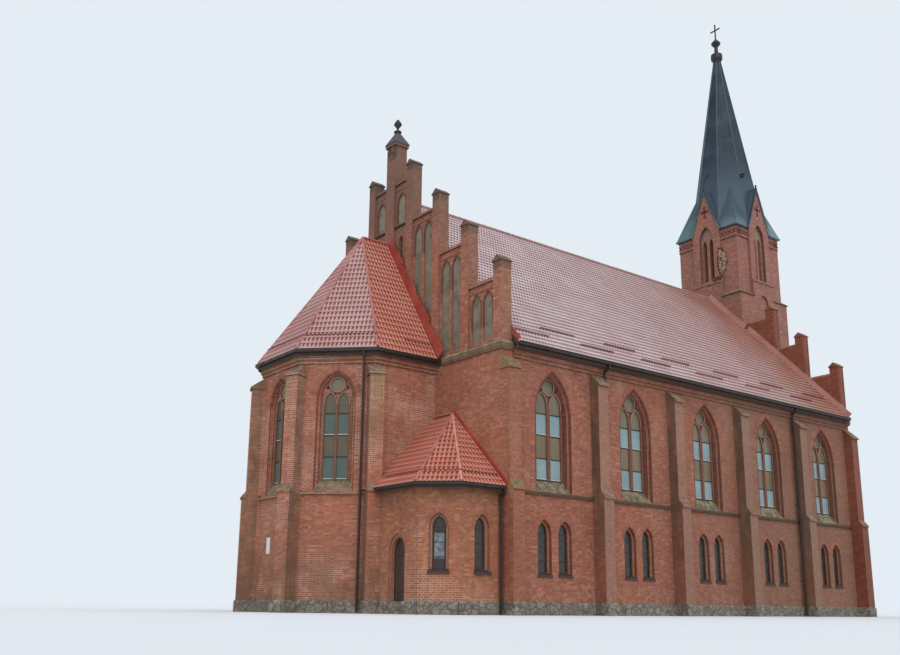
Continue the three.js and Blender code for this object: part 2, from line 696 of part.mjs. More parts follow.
// Apse gutter follows the eave
function apseGutter() {
  const ring = (inner, outer, from, to) => joined([octagon(outer, [0, APSE_Y], from, to),
    standing(rect(-outer, APSE_Y, outer, 1000), from, to)])
    .subtract(joined([octagon(inner, [0, APSE_Y], from - 5, to + 5),
      standing(rect(-inner, APSE_Y, inner, 1010), from - 5, to + 5)]));
  const edge = APSE_EDGE + GAP;
  const floor = EAVE - GUTTER_DEEP;
  const body = ring(edge, edge + APSE_GUTTER, floor, EAVE - LIP);
  const groove = ring(edge + 20, edge + APSE_GUTTER - 20, floor + 25, EAVE);
  const half = standing(rect(-9000, -9000, 9000, -102), 0, 20000);
  return body.subtract(groove).intersect(half);
}

const APSE_PIPE = { angle: -Math.PI / 4, along: 1090, out: 190 };

function apseDownpipe() {
  const gutterOut = APSE_EDGE - APSE_IN + APSE_GUTTER / 2;
  const parts = downpipe(APSE_PIPE.along, APSE_PIPE.out, gutterOut, EAVE - GUTTER_DEEP);
  return moved(joined(parts), apseFrame(APSE_PIPE.angle, APSE_IN));
}

addPiece('apse_gutter', joined([apseGutter(), apseDownpipe()]), METAL);

// Apse glass: a folded sheet on the inner faces
function apseGlass() {
  const inner = APSE_IN - APSE_WALL - GAP;
  const outline = (apothem) => joined([octagon(apothem, [0, APSE_Y], ...UPPER_GLASS),
    standing(rect(-apothem, APSE_Y, apothem, -300), ...UPPER_GLASS)]);
  const half = standing(rect(-9000, -9000, 9000, -300), 0, 20000);
  return outline(inner).subtract(outline(inner - GLASS_THICK)).intersect(half);
}

addPiece('apse_glass', apseGlass(), GLASS);

// Sacristy: front wall split round the door, then the corner and end walls in one piece
const ANNEX_FACE = NAVE_HALF - ANNEX_CORNER;
const ANNEX_END = -ANNEX_FRONT + ANNEX_CORNER;

// What the sacristy's walls, roof and gutter keep clear of: the apse and the buttress on its corner
function buttressRoom() {
  const plinth = BUTTRESS_LOW + PLINTH_OUT + 1;
  const low = BUTTRESS_LOW + 51;
  const high = BUTTRESS_HIGH + 1;
  const back = -300;
  const foot = [[back, -10], [plinth, -10], [plinth, PLINTH_TOP + 10], [back, PLINTH_TOP + 10]];
  const shaft = [[back, 400], [low, 400], [low, STRING + 20], [high - 1, STRING + SETOFF_RISE + 31],
    [high, CORNICE_FOOT], [back, CORNICE_FOOT]];
  const footHalf = BUTTRESS_HALF + PLINTH_OUT + 1;
  const half = BUTTRESS_HALF + 31;
  const room = moulding(foot, -footHalf, footHalf).add(moulding(shaft, -half, half));
  return moved(room, apseFrame(-HALF_TURN_8, CORNER_AT));
}

const buttressBlock = buttressRoom();
const apseBlock = octagon(APSE_IN + GAP, [0, APSE_Y], -10, EAVE);
const annexKeepOut = (solid) => without(solid, [buttressBlock, apseBlock]);

const ANNEX_WALL_TOP = ANNEX_EAVE - 30;
const annexFrame = facing(0, -ANNEX_FRONT, EAST);

function annexFrontWall(from, to) {
  return annexKeepOut(moved(joined([
    panel(rect(from, 0, to, ANNEX_WALL_TOP), -ANNEX_WALL, 0), plinthBand(from, to),
  ]), annexFrame));
}

addPiece('annex_wall_beside_door', annexFrontWall(APSE_IN + GAP, DOOR_X - DOOR_REBATE - GAP), BRICK);

// The way through, its outer order, and the square-headed space behind that the leaf swings into
function annexDoorCuts() {
  const way = pointed(DOOR_X, DOOR_WAY, -10, DOOR_SPRING - 20, DOOR_APEX - 60);
  const order = pointed(DOOR_X, DOOR_WAY + 80, -10, DOOR_SPRING, DOOR_APEX + 60);
  const room = rect(DOOR_X - DOOR_REBATE, -10, DOOR_X + DOOR_REBATE, DOOR_APEX + 30);
  return [
    panel(room, -ANNEX_WALL - 10, -DOOR_STOP),
    panel(way, -ANNEX_WALL - 10, 10),
    panel(order, -80, PLINTH_OUT + 10),
  ];
}

const doorCuts = annexDoorCuts();

function annexOverDoor() {
  const from = DOOR_X - DOOR_REBATE;
  const to = DOOR_X + DOOR_REBATE;
  return without(panel(rect(from, OVER_DOOR, to, ANNEX_WALL_TOP), -ANNEX_WALL, 0), doorCuts);
}

addPiece('annex_wall_over_door', annexOverDoor(), BRICK, annexFrame);

function annexPastDoor() {
  const near = DOOR_X + DOOR_REBATE + GAP;
  const inset = ANNEX_WALL * Math.tan(HALF_TURN_8);
  const inner = NAVE_HALF - ANNEX_WALL;
  const back = -ANNEX_FRONT + ANNEX_WALL;
  const plan = [
    [near, -ANNEX_FRONT], [ANNEX_FACE, -ANNEX_FRONT], [NAVE_HALF, ANNEX_END], [NAVE_HALF, -GAP],
    [inner, -GAP], [inner, ANNEX_END + inset], [ANNEX_FACE - inset, back], [near, back],
  ];
  let solid = standing(plan, 0, ANNEX_WALL_TOP);
  const corner = facing((ANNEX_FACE + NAVE_HALF) / 2, (ANNEX_END - ANNEX_FRONT) / 2, -Math.PI / 4);
  const faces = [
    { frame: corner, half: ANNEX_CORNER * Math.SQRT1_2, at: 0 },
    { frame: facing(NAVE_HALF, ANNEX_END / 2, 0), half: -ANNEX_END / 2 - GAP / 2, at: 60 },
  ];
  for (const { frame, half, at } of faces) {
    const { cuts, adds } = smallWindow(at, ANNEX_WALL);
    solid = without(solid, cuts.map((cut) => moved(cut, frame)));
    solid = joined([solid, ...adds.map((add) => moved(add, frame)), moved(plinthBand(-half, half), frame)]);
  }
  return solid.add(moved(plinthBand(near, ANNEX_FACE), annexFrame));
}

const keepEast = standing(rect(-20000, -20000, 20000, -GAP), -10, 40000);
addPiece('annex_wall_corner', annexPastDoor().intersect(keepEast), BRICK);

// Door jambs stand on each side of the way through, and the sill lies under the leaf
function annexJambs() {
  const sides = [-1, 1].map((side) => {
    const near = DOOR_X + side * (DOOR_REBATE - GAP);
    const far = DOOR_X + side * DOOR_WAY;
    return panel(rect(Math.min(near, far), 0, Math.max(near, far), OVER_DOOR - GAP), -DOOR_STOP, 0);
  });
  const sill = panel(rect(DOOR_X - DOOR_REBATE + GAP, 0, DOOR_X + DOOR_REBATE - GAP, FLOOR), -ANNEX_WALL, 0);
  const aboveSill = panel(rect(0, FLOOR, 20000, 5000), -500, 500);
  return joined([...sides, sill]).subtract(doorCuts[2].intersect(aboveSill));
}

addPiece('annex_door_frame', annexJambs(), BRICK, annexFrame);

// Sacristy door: one plank leaf that opens inward, hung by two eyes on the pins of the wall
const LEAF_BACK = -DOOR_STOP - 8 - DOOR_THICK;
const HINGE_X = DOOR_X - DOOR_HALF + HINGE_IN;
const HINGE_W = LEAF_BACK - HINGE_BEHIND;

function upright(radius, from, to, sides = 12) {
  const pin = new THREE.CylinderGeometry(radius, radius, to - from, sides);
  pin.translate(HINGE_X, (from + to) / 2, HINGE_W);
  return toSolid(pin);
}

function annexDoor() {
  const leaf = panel(pointed(DOOR_X, DOOR_HALF, FLOOR + DOOR_CLEAR, DOOR_SPRING + 20, DOOR_APEX, 3),
    LEAF_BACK, LEAF_BACK + DOOR_THICK);
  const knob = new THREE.CylinderGeometry(30, 30, 60, 8);
  knob.rotateX(Math.PI / 2);
  knob.translate(DOOR_X + DOOR_HALF - 140, 1400, LEAF_BACK + DOOR_THICK + 25);
  const eyes = HINGE_LEVELS.map((level) => upright(EYE_RADIUS, level + GAP, level + EYE_TALL));
  const straps = HINGE_LEVELS.map((level) => panel(
    rect(HINGE_X, level + GAP, HINGE_X + 700, level + EYE_TALL), LEAF_BACK - 8, LEAF_BACK + 1));
  const holes = HINGE_LEVELS.map((level) => upright(EYE_HOLE, level - 10, level + EYE_TALL + 10));
  return without(joined([leaf, toSolid(knob), ...eyes, ...straps]), holes);
}

addPiece('annex_door', annexDoor(), TIMBER, annexFrame);

// Hinge pins, each on a short bracket from the reveal beside the door
function hingePin(level) {
  const bracket = panel(rect(DOOR_X - DOOR_REBATE, level - 20, HINGE_X + PIN_RADIUS, level),
    HINGE_W - PIN_RADIUS, HINGE_W + PIN_RADIUS);
  return bracket.add(upright(PIN_RADIUS, level - 10, level + EYE_TALL + 12));
}

addPiece('annex_hinge_pin_lower', hingePin(HINGE_LEVELS[0]), METAL, annexFrame);
addPiece('annex_hinge_pin_upper', hingePin(HINGE_LEVELS[1]), METAL, annexFrame);

// Sacristy roof: three slopes that rise against the nave and the apse
function annexRoof() {
  const front = -ANNEX_FRONT - ANNEX_OVERHANG;
  const side = NAVE_HALF + ANNEX_OVERHANG;
  const cut = ANNEX_OVERHANG * Math.tan(HALF_TURN_8);
  const inside = APSE_IN - 400;
  const eaves = [[inside, front], [ANNEX_FACE + cut, front], [side, ANNEX_END - cut]];
  const body = (drop, stretch) => hull([
    ...[...eaves, [side, stretch], [inside, stretch]].map(([x, y]) => [x, y, ANNEX_EAVE - drop]),
    ...rect(inside, 0, ANNEX_APEX_X, stretch).map(([x, y]) => [x, y, ANNEX_APEX - drop]),
  ]);
  const plan = [...eaves, [side, 500], [inside, 500]];
  const skirt = standing(plan, ANNEX_EAVE - ANNEX_ROOF_DEPTH, ANNEX_EAVE + 1);
  const shell = body(0, 500).add(skirt).subtract(body(ANNEX_ROOF_DEPTH, 501));
  const outside = standing(rect(APSE_IN + GAP, -9000, 20000, -GAP), 0, 20000);
  return annexKeepOut(shell.intersect(outside));
}

addPiece('annex_roof', annexRoof(), TILE);

// Sacristy gutter along its three eaves, with a downpipe in the corner by the nave
const ANNEX_PIPE = { along: -150, out: 130 };

function annexGutter() {
  const front = -ANNEX_FRONT - ANNEX_OVERHANG;
  const side = NAVE_HALF + ANNEX_OVERHANG;
  const cut = ANNEX_OVERHANG * Math.tan(HALF_TURN_8);
  const plan = (out, from, to) => {
    const mitre = cut + out * Math.tan(HALF_TURN_8);
    return standing([
      [APSE_IN, front - out], [ANNEX_FACE + mitre, front - out], [side + out, ANNEX_END - mitre],
      [side + out, 500], [APSE_IN, 500],
    ], from, to);
  };
  const level = ANNEX_EAVE;
  const floor = level - ANNEX_GUTTER;
  const body = plan(GAP + ANNEX_GUTTER, floor, level - 15).subtract(plan(GAP, level - 200, level + 10));
  const groove = plan(GAP + ANNEX_GUTTER - 20, floor + 20, level).subtract(plan(GAP + 20, floor, level + 5));
  const east = standing(rect(APSE_IN + 700, -9000, 20000, -GAP - 100), 0, 20000);
  const pipe = joined(downpipe(ANNEX_PIPE.along, ANNEX_PIPE.out, ANNEX_OVERHANG + ANNEX_GUTTER / 2, floor));
  return annexKeepOut(body.subtract(groove).intersect(east)).add(moved(pipe, facing(NAVE_HALF, 0, 0)));
}

addPiece('annex_gutter', annexGutter(), METAL);

// Sacristy glass: a folded sheet on the inner faces of the corner and end walls
function annexGlass() {
  const inset = ANNEX_WALL + GAP;
  const line = (depth) => {
    const cut = depth * Math.tan(HALF_TURN_8);
    return [[ANNEX_FACE - cut, -ANNEX_FRONT + depth], [NAVE_HALF - depth, ANNEX_END + cut]];
  };
  const [a, b] = line(inset);
  const [c, d] = line(inset + GLASS_THICK);
  const plan = [a, b, [NAVE_HALF - inset, -100], [NAVE_HALF - inset - GLASS_THICK, -100], d, c];
  return standing(plan, LOWER_GLASS[0] + 50, LOWER_GLASS[1]);
}

addPiece('annex_glass', annexGlass(), GLASS);

// Floor of the nave, apse and tower, one level right through, and the sacristy floor
function mainFloor() {
  const slab = (points) => standing(points, 0, FLOOR);
  const side = NAVE_HALF - WALL - GAP;
  const tower = TOWER_Y - SHAFT_HALF;
  const nave = rect(-side, END_WALL + GAP, side, tower - GAP);
  const aisle = rect(SHAFT_HALF + GAP, tower - 50, side, NAVE_LENGTH - END_WALL - GAP);
  const inTower = SHAFT_HALF - SHAFT_WALL - GAP;
  const inApse = APSE_IN - APSE_WALL - 1;
  const apse = octagon(inApse, [0, APSE_Y], 0, FLOOR).add(slab(rect(-inApse, APSE_Y, inApse, -GAP)));
  return joined([
    slab(nave), slab(aisle), slab(rect(-side, aisle[0][1], -SHAFT_HALF - GAP, aisle[2][1])),
    slab(rect(-ARCH_HALF + GAP, -50, ARCH_HALF - GAP, END_WALL + 50)),
    apse.intersect(standing(rect(-9000, -9000, 9000, -GAP), -1, FLOOR + 1)),
    slab(rect(-TOWER_ARCH + GAP, tower - 50, TOWER_ARCH - GAP, tower + SHAFT_WALL + 50)),
    slab(rect(-inTower, TOWER_Y - inTower, inTower, TOWER_Y + inTower)),
  ]);
}

addPiece('main_floor', mainFloor(), STONE);

function annexFloor() {
  const front = -ANNEX_FRONT + ANNEX_WALL + GAP;
  const side = NAVE_HALF - ANNEX_WALL - GAP;
  const cut = ANNEX_WALL * Math.tan(HALF_TURN_8) + GAP;
  const plan = [[APSE_IN + GAP, front], [ANNEX_FACE - cut, front], [side, ANNEX_END + cut], [side, -GAP],
    [APSE_IN + GAP, -GAP]];
  return standing(plan, 0, FLOOR);
}

addPiece('annex_floor', annexFloor(), STONE);

// Tower shaft: four walls, with an arch into the nave and a west doorway
function towerFrame(half, angle) {
  return facing(half * Math.cos(angle), TOWER_Y + half * Math.sin(angle), angle);
}

const shaftFrame = (angle) => towerFrame(SHAFT_HALF, angle);

// Blind arch under the bay of each free side, and the part of the shaft it is cut in
const BLIND_HALF = 420;
const BLIND_DEPTH = 120;
const blindOutline = pointed(0, BLIND_HALF, 15200, 18080, 18580);

function shaftWall(half, cuts, adds = []) {
  const wall = without(panel(rect(-half, 0, half, SHAFT_TOP), -SHAFT_WALL, 0), cuts);
  return joined([wall, ...adds]);
}

const shaftBlind = panel(blindOutline, -BLIND_DEPTH, 10);
const towerArch = panel(pointed(0, TOWER_ARCH, -10, 3000, 4600), -SHAFT_WALL - 10, 10);
addPiece('tower_wall_east', shaftWall(SHAFT_HALF, [towerArch]), BRICK, shaftFrame(EAST));

// West wall with the portal and the window over it
const WEST_DOOR_HALF = 800;
const WEST_SPRING = 2500;
const WEST_APEX = 3700;
const WEST_LIFT = 2200;
const westArch = (out, back) => panel(
  pointed(0, WEST_DOOR_HALF + out, FLOOR, WEST_SPRING, WEST_APEX + out * 1.25), back, PLINTH_OUT + 10);
const westDoorCuts = [westArch(240, -120), westArch(120, -240), westArch(0, -SHAFT_WALL - 10)];
const westLight = bigWindow(0, SHAFT_WALL, NAVE_WINDOW, WEST_LIFT);
const westWall = shaftWall(SHAFT_HALF, [...westLight.cuts, shaftBlind], westLight.adds)
  .add(plinthBand(-SHAFT_HALF, SHAFT_HALF));
addPiece('tower_wall_west', without(westWall, westDoorCuts), BRICK, shaftFrame(WEST));

const westLeaf = pointed(0, WEST_DOOR_HALF - GAP, FLOOR + GAP, WEST_SPRING, WEST_APEX - GAP);
addPiece('west_door', panel(westLeaf, -320, -260), TIMBER, shaftFrame(WEST));
const westSheet = rect(-700, UPPER_GLASS[0] + WEST_LIFT, 700, UPPER_GLASS[1] + WEST_LIFT);
const westGlass = panel(westSheet, -SHAFT_WALL - GLASS_THICK, -SHAFT_WALL - GAP);
addPiece('west_glass', westGlass, GLASS, shaftFrame(WEST));

for (const [angle, label] of [[0, 'right'], [Math.PI, 'left']]) {
  const half = SHAFT_HALF - SHAFT_WALL - GAP;
  addPiece(`tower_wall_${label}`, shaftWall(half, [shaftBlind]), BRICK, shaftFrame(angle));
}

// Sloping coping ring where the shaft steps in to the belfry, broken by the foot of each bay
const BAY_BASE = SHAFT_HALF - BELFRY_HALF;
const BAY_FOOT_DEEP = 200;
const squareAt = (half, level) => rect(-half, -half, half, half).map(([x, y]) => [x, TOWER_Y + y, level]);
const belfryFrame = (angle) => towerFrame(BELFRY_HALF, angle);
const TOWER_SIDES = [[EAST, 'east'], [WEST, 'west'], [0, 'right'], [Math.PI, 'left']];

function coping() {
  const low = SHAFT_TOP + GAP;
  const out = SHAFT_HALF + 60;
  const body = hull([...squareAt(out, low), ...squareAt(out, low + 60),
    ...squareAt(BELFRY_HALF + 5, BELFRY_FOOT - GAP)]);
  const hole = SHAFT_HALF - SHAFT_WALL;
  const room = panel(rect(-BAY_HALF - GAP, low - 10, BAY_HALF + GAP, BELFRY_FOOT + 10), -BAY_FOOT_DEEP, 400);
  return without(body, [
    standing(rect(-hole, TOWER_Y - hole, hole, TOWER_Y + hole), 0, 30000),
    ...TOWER_SIDES.map(([angle]) => moved(room, belfryFrame(angle))),
  ]);
}

addPiece('tower_coping', coping(), STONE);

// Belfry walls, each with a gabled bay that holds a pointed recess, two sound openings and a cross
const RECESS_HALF = 500;
const RECESS_FOOT = 19420;
const RECESS_APEX = 23120;
const SOUND_AT = 235;
const SOUND_HALF = 130;
const SOUND_FOOT = 19650;
const SOUND_APEX = 22320;
const CROSS_Z = 24090;
const FRIEZE = [21960, 22620];
const BAY_SILL = 19300;

function bayCross() {
  const cut = (points) => panel(points, BAY_OUT - 80, BAY_OUT + 10);
  return [cut(rect(-45, CROSS_Z - 400, 45, CROSS_Z + 330)), cut(rect(-265, CROSS_Z - 45, 265, CROSS_Z + 45))];
}

function belfryWall(half, blind) {
  const foot = BELFRY_FOOT;
  const bay = [[-BAY_HALF, foot], [BAY_HALF, foot], [BAY_HALF, BELFRY_TOP], [0, BAY_APEX],
    [-BAY_HALF, BELFRY_TOP]];
  const sill = [[-BITE, foot], [BAY_BASE, foot], [BAY_BASE, BAY_SILL], [BAY_BASE + 50, BAY_SILL],
    [BAY_BASE + 50, BAY_SILL + 60], [40, BAY_SILL + 280], [-BITE, BAY_SILL + 280]];
  const base = panel(rect(-BAY_HALF, SHAFT_TOP + GAP, BAY_HALF, foot + BITE), -BAY_FOOT_DEEP + GAP, BAY_BASE);
  const solid = joined([
    panel(rect(-half, foot, half, BELFRY_TOP - GAP), -BELFRY_WALL, 0), panel(bay, -BELFRY_WALL, BAY_OUT),
    panel(rect(-half, FRIEZE[0], half, FRIEZE[1]), -BITE, 40),
  ]);
  const recess = pointed(0, RECESS_HALF, RECESS_FOOT, RECESS_APEX - 870, RECESS_APEX);
  const cuts = [panel(recess, BAY_OUT - 200, BAY_OUT + 10), ...bayCross()];
  for (const side of [-1, 1]) {
    const sound = pointed(side * SOUND_AT, SOUND_HALF, SOUND_FOOT, SOUND_APEX - 330, SOUND_APEX, 2);
    cuts.push(panel(sound, -BELFRY_WALL - 10, BAY_OUT + 10));
  }
  const whole = joined([without(solid, cuts), base, moulding(sill, -BAY_HALF, BAY_HALF)]);
  return blind ? whole.subtract(panel(blindOutline, BAY_BASE - BLIND_DEPTH, BAY_BASE + 10)) : whole;
}

for (const [angle, label] of TOWER_SIDES) {
  const across = label === 'east' || label === 'west';
  const half = across ? BELFRY_HALF : BELFRY_HALF - BELFRY_WALL - GAP;
  addPiece(`belfry_wall_${label}`, belfryWall(half, label !== 'east'), BRICK, belfryFrame(angle));
}

// Spire: an eight-sided shell with a broach at each corner and a gablet roof over each bay
function spireBody(drop) {
  const eave = BELFRY_TOP - drop;
  const ring = (apothem, level) => Array.from({ length: 8 }, (_, i) => {
    const angle = HALF_TURN_8 + i * Math.PI / 4;
    const radius = apothem / Math.cos(HALF_TURN_8);
    return [radius * Math.cos(angle), TOWER_Y + radius * Math.sin(angle), level];
  });
  const parts = [hull([...ring(SPIRE_ROOT, eave), ...ring(SPIRE_TOP_IN, SPIRE_TOP - drop)])];
  const rise = (BROACH_TOP - BELFRY_TOP) / (SPIRE_TOP - BELFRY_TOP);
  const top = (SPIRE_ROOT - (SPIRE_ROOT - SPIRE_TOP_IN) * rise) * Math.SQRT1_2;
  for (const [sx, sy] of [[1, 1], [-1, 1], [-1, -1], [1, -1]]) {
    const [x, y] = [sx * SPIRE_HALF, TOWER_Y + sy * SPIRE_HALF];
    parts.push(hull([
      [x, y, eave], [x, TOWER_Y, eave], [0, y, eave], [0, TOWER_Y, eave],
      [sx * top, TOWER_Y + sy * top, BROACH_TOP - drop], [0, TOWER_Y, BROACH_TOP - drop],
    ]));
  }
  return joined(parts);
}

const GABLET_HALF = 1130;

function gablet(angle) {
  const roof = [[-GABLET_HALF, BELFRY_TOP], [GABLET_HALF, BELFRY_TOP], [0, GABLET_APEX]];
  const inner = BAY_HALF + 1;
  const brickSlope = (BAY_APEX - BELFRY_TOP) / BAY_HALF;
  const low = BELFRY_TOP - 900;
  const eave = BELFRY_TOP + 3;
  const hole = [[-inner, low], [inner, low], [inner, eave], [0, eave + brickSlope * inner], [-inner, eave]];
  const frame = belfryFrame(angle);
  return {
    roof: moved(panel(roof, -1900, BAY_OUT + 60), frame),
    hole: moved(panel(hole, -1100, BAY_OUT + 100), frame),
  };
}

function spire() {
  const sides = [0, WEST, Math.PI, EAST].map(gablet);
  const level = (half, from, to) => standing(rect(-half, TOWER_Y - half, half, TOWER_Y + half), from, to);
  const skirt = level(SPIRE_HALF, BELFRY_TOP, BELFRY_TOP + 90);
  const outer = joined([spireBody(0), skirt, ...sides.map((one) => one.roof)]);
  const inner = spireBody(SPIRE_DEPTH).intersect(level(BELFRY_HALF - BELFRY_WALL - 10, 0, 40000));
  return without(outer, [inner, ...sides.map((one) => one.hole)]);
}

addPiece('spire', spire(), COPPER);

// Finial: collar, neck, ball and cross
const ARMS_Z = 37600;
const ARMS_HALF = 360;
const BAR_HALF = 32;

function finial() {
  const base = SPIRE_TOP + GAP;
  const profile = [[0, 0], [230, 0], [370, 240], [370, 560], [250, 640], [130, 760], [110, 1130], [300, 1380],
    [300, 1440], [60, 1740], [0, 1740]];
  const body = turned(profile.map(([r, z]) => [r, z + base]), 0, 0, 12);
  const upright = new THREE.Matrix4().makeRotationX(Math.PI / 2).setPosition(0, TOWER_Y, 0);
  const bar = (half, from, to) => standing(
    rect(-half, TOWER_Y - BAR_HALF, half, TOWER_Y + BAR_HALF), from, to);
  const post = bar(BAR_HALF, base + 1700, FINIAL_TOP);
  const arms = bar(ARMS_HALF, ARMS_Z - BAR_HALF, ARMS_Z + BAR_HALF);
  return joined([moved(body, upright), post, arms]);
}

addPiece('spire_finial', finial(), METAL);

export default church;
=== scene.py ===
import json
import math
import random

import bmesh
import bpy
from mathutils import Matrix, Vector

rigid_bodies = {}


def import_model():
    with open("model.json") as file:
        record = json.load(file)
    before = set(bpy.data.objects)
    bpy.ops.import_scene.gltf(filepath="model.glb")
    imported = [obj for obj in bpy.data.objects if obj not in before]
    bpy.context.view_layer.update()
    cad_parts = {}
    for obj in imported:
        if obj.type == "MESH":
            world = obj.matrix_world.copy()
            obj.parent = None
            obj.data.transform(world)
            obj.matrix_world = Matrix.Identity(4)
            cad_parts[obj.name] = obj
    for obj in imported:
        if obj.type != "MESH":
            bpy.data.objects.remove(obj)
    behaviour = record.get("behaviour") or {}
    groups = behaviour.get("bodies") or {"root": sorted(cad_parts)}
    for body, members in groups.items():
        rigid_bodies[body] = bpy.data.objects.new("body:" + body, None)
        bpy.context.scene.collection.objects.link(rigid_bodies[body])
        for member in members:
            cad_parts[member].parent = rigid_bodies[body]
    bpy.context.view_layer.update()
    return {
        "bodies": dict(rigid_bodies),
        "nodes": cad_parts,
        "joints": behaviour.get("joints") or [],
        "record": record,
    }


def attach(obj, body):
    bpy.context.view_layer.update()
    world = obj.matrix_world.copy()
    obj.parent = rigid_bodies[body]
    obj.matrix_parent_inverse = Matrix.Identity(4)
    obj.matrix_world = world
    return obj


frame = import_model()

# View of the photograph
# A small camera held low in front of the right corner, looking along the nave and up.
# Its lens is moved up a little, so that the walls stay nearly upright.
yaw, pitch, roll = (math.radians(angle) for angle in (52.145, 13.321, 0.601))
ahead = Vector((-math.sin(yaw) * math.cos(pitch), math.cos(yaw) * math.cos(pitch), math.sin(pitch)))
level = Vector((math.cos(yaw), math.sin(yaw), 0))
sideways = math.cos(roll) * level + math.sin(roll) * level.cross(ahead)
lens = bpy.data.cameras.new("view_camera")
lens.sensor_width = 36
lens.lens = 38.143
lens.shift_y = 0.06
lens.clip_end = 500
camera = bpy.data.objects.new("view_camera", lens)
camera.matrix_world = Matrix((sideways, sideways.cross(ahead), -ahead)).transposed().to_4x4()
camera.location = (33.658, -33.617, 0.25)
bpy.context.scene.collection.objects.link(camera)
bpy.context.scene.camera = camera


# Brick walls of the nave
# Solid walls of red brick, 250 by 120 by 65 mm, laid in cross bond in lime mortar on a fieldstone plinth.
# The joints have washed out pale in places, and sloping tops of brick and stone have grown mossy.
class Finish:
    """One finish as it is mixed: the node tree of a material, its colour so far, and the shader it ends in."""

    def __init__(self, name, roughness, metallic=0.0, gloss=0.5):
        self.material = bpy.data.materials.new(name)
        self.material.use_nodes = True
        self.tree = self.material.node_tree
        self.shader = self.tree.nodes["Principled BSDF"]
        self.shader.inputs["Roughness"].default_value = roughness
        self.shader.inputs["Metallic"].default_value = metallic
        self.shader.inputs["Specular IOR Level"].default_value = gloss
        self.place = self.read("ShaderNodeTexCoord", output="Object")
        outward = self.read("ShaderNodeNewGeometry", output="True Normal")
        self.facing = self.read("ShaderNodeVectorTransform", {0: outward}, vector_type="NORMAL",
                                convert_from="WORLD", convert_to="OBJECT")
        self.x, self.y, self.z = self.split(self.place)
        self.facing_x, self.facing_y, self.tilt = self.split(self.facing)

    def add(self, kind, values=(), **settings):
        node = self.tree.nodes.new(kind)
        for name, setting in settings.items():
            setattr(node, name, setting)
        for socket, value in dict(values).items():
            self.feed(value, node.inputs[socket])
        return node

    def read(self, kind, values=(), output=0, **settings):
        return Measure(self, self.add(kind, values, **settings).outputs[output])

    def feed(self, value, socket):
        if isinstance(value, Measure):
            self.tree.links.new(value.socket, socket)
        elif socket.type == "RGBA":
            socket.default_value = paint(value)
        else:
            socket.default_value = value

    def split(self, vector):
        return [Measure(self, part) for part in self.add("ShaderNodeSeparateXYZ", {0: vector}).outputs]

    def own(self, name):
        """A number that the mesh carries in an attribute."""
        return self.read("ShaderNodeAttribute", output="Fac", attribute_name=name)

    def sum(self, operation, first, second=0.0):
        return self.read("ShaderNodeMath", {0: first, 1: second}, operation=operation)

    def vector(self, operation, first, second=(0, 0, 0)):
        return self.read("ShaderNodeVectorMath", {0: first, 1: second},
                         "Value" if operation in ("DOT_PRODUCT", "LENGTH") else "Vector", operation=operation)

    def noise(self, scale, detail=4.0, stretch=(1, 1, 1)):
        place = self.vector("MULTIPLY", self.place, stretch)
        return self.read("ShaderNodeTexNoise", {"Vector": place, "Scale": scale, "Detail": detail})

    def laid(self, place, wide, high, joint, colours, offset=0.5, squash=1.0, smooth=0.1):
        """Colour of bricks, sheets or boards laid in rows, and 1 on the joints between them."""
        rows = self.add("ShaderNodeTexBrick", {
            "Vector": place, "Color1": colours[0], "Color2": colours[1], "Mortar": colours[2], "Scale": 1.0,
            "Mortar Size": joint, "Mortar Smooth": smooth, "Brick Width": wide, "Row Height": high,
        }, offset=offset, squash=squash)
        return Measure(self, rows.outputs["Color"]), Measure(self, rows.outputs["Fac"])

    def mix(self, share, under, over, blend_type="MIX"):
        return self.read("ShaderNodeMix", {0: share, 6: under, 7: over}, 2, data_type="RGBA", blend_type=blend_type)

    def tint(self, share, over, blend_type="MIX"):
        """Lay another colour over the one so far."""
        self.colour = self.mix(share, self.colour, over, blend_type)

    def shades(self, value, stops, interpolation="LINEAR"):
        ramp = self.add("ShaderNodeValToRGB", {0: value})
        ramp.color_ramp.interpolation = interpolation
        while len(ramp.color_ramp.elements) < len(stops):
            ramp.color_ramp.elements.new(0.5)
        for element, (position, colour) in zip(ramp.color_ramp.elements, stops):
            element.position = position
            element.color = paint(colour)
        return Measure(self, ramp.outputs[0])

    def along_and_up(self):
        """Metres along a face and up it, whichever way the face looks."""
        along = self.vector("NORMALIZE", self.vector("CROSS_PRODUCT", (0, 0, 1), self.facing))
        up = self.vector("CROSS_PRODUCT", self.facing, along)
        return self.read("ShaderNodeCombineXYZ", {0: self.vector("DOT_PRODUCT", self.place, along),
                                                  1: self.vector("DOT_PRODUCT", self.place, up)})

    def mottle(self, dark, pale, *grain):
        """A mixture of two colours by one noise."""
        return self.mix(self.noise(*grain), dark, pale)

    def mottled(self, grain, dark, pale, *relief):
        """The whole finish, where it is a mottle with relief as in done."""
        self.colour = self.mottle(dark, pale, *grain)
        return self.done(*relief)

    def done(self, height=None, depth=0.0, strength=1.0):
        """The finished material, its relief a measure, or the scale and detail of a noise."""
        self.feed(self.colour, self.shader.inputs["Base Color"])
        if height is not None:
            height = self.noise(*height) if isinstance(height, tuple) else height
            bump = self.read("ShaderNodeBump", {"Strength": strength, "Distance": depth, "Height": height})
            self.feed(bump, self.shader.inputs["Normal"])
        return self.material


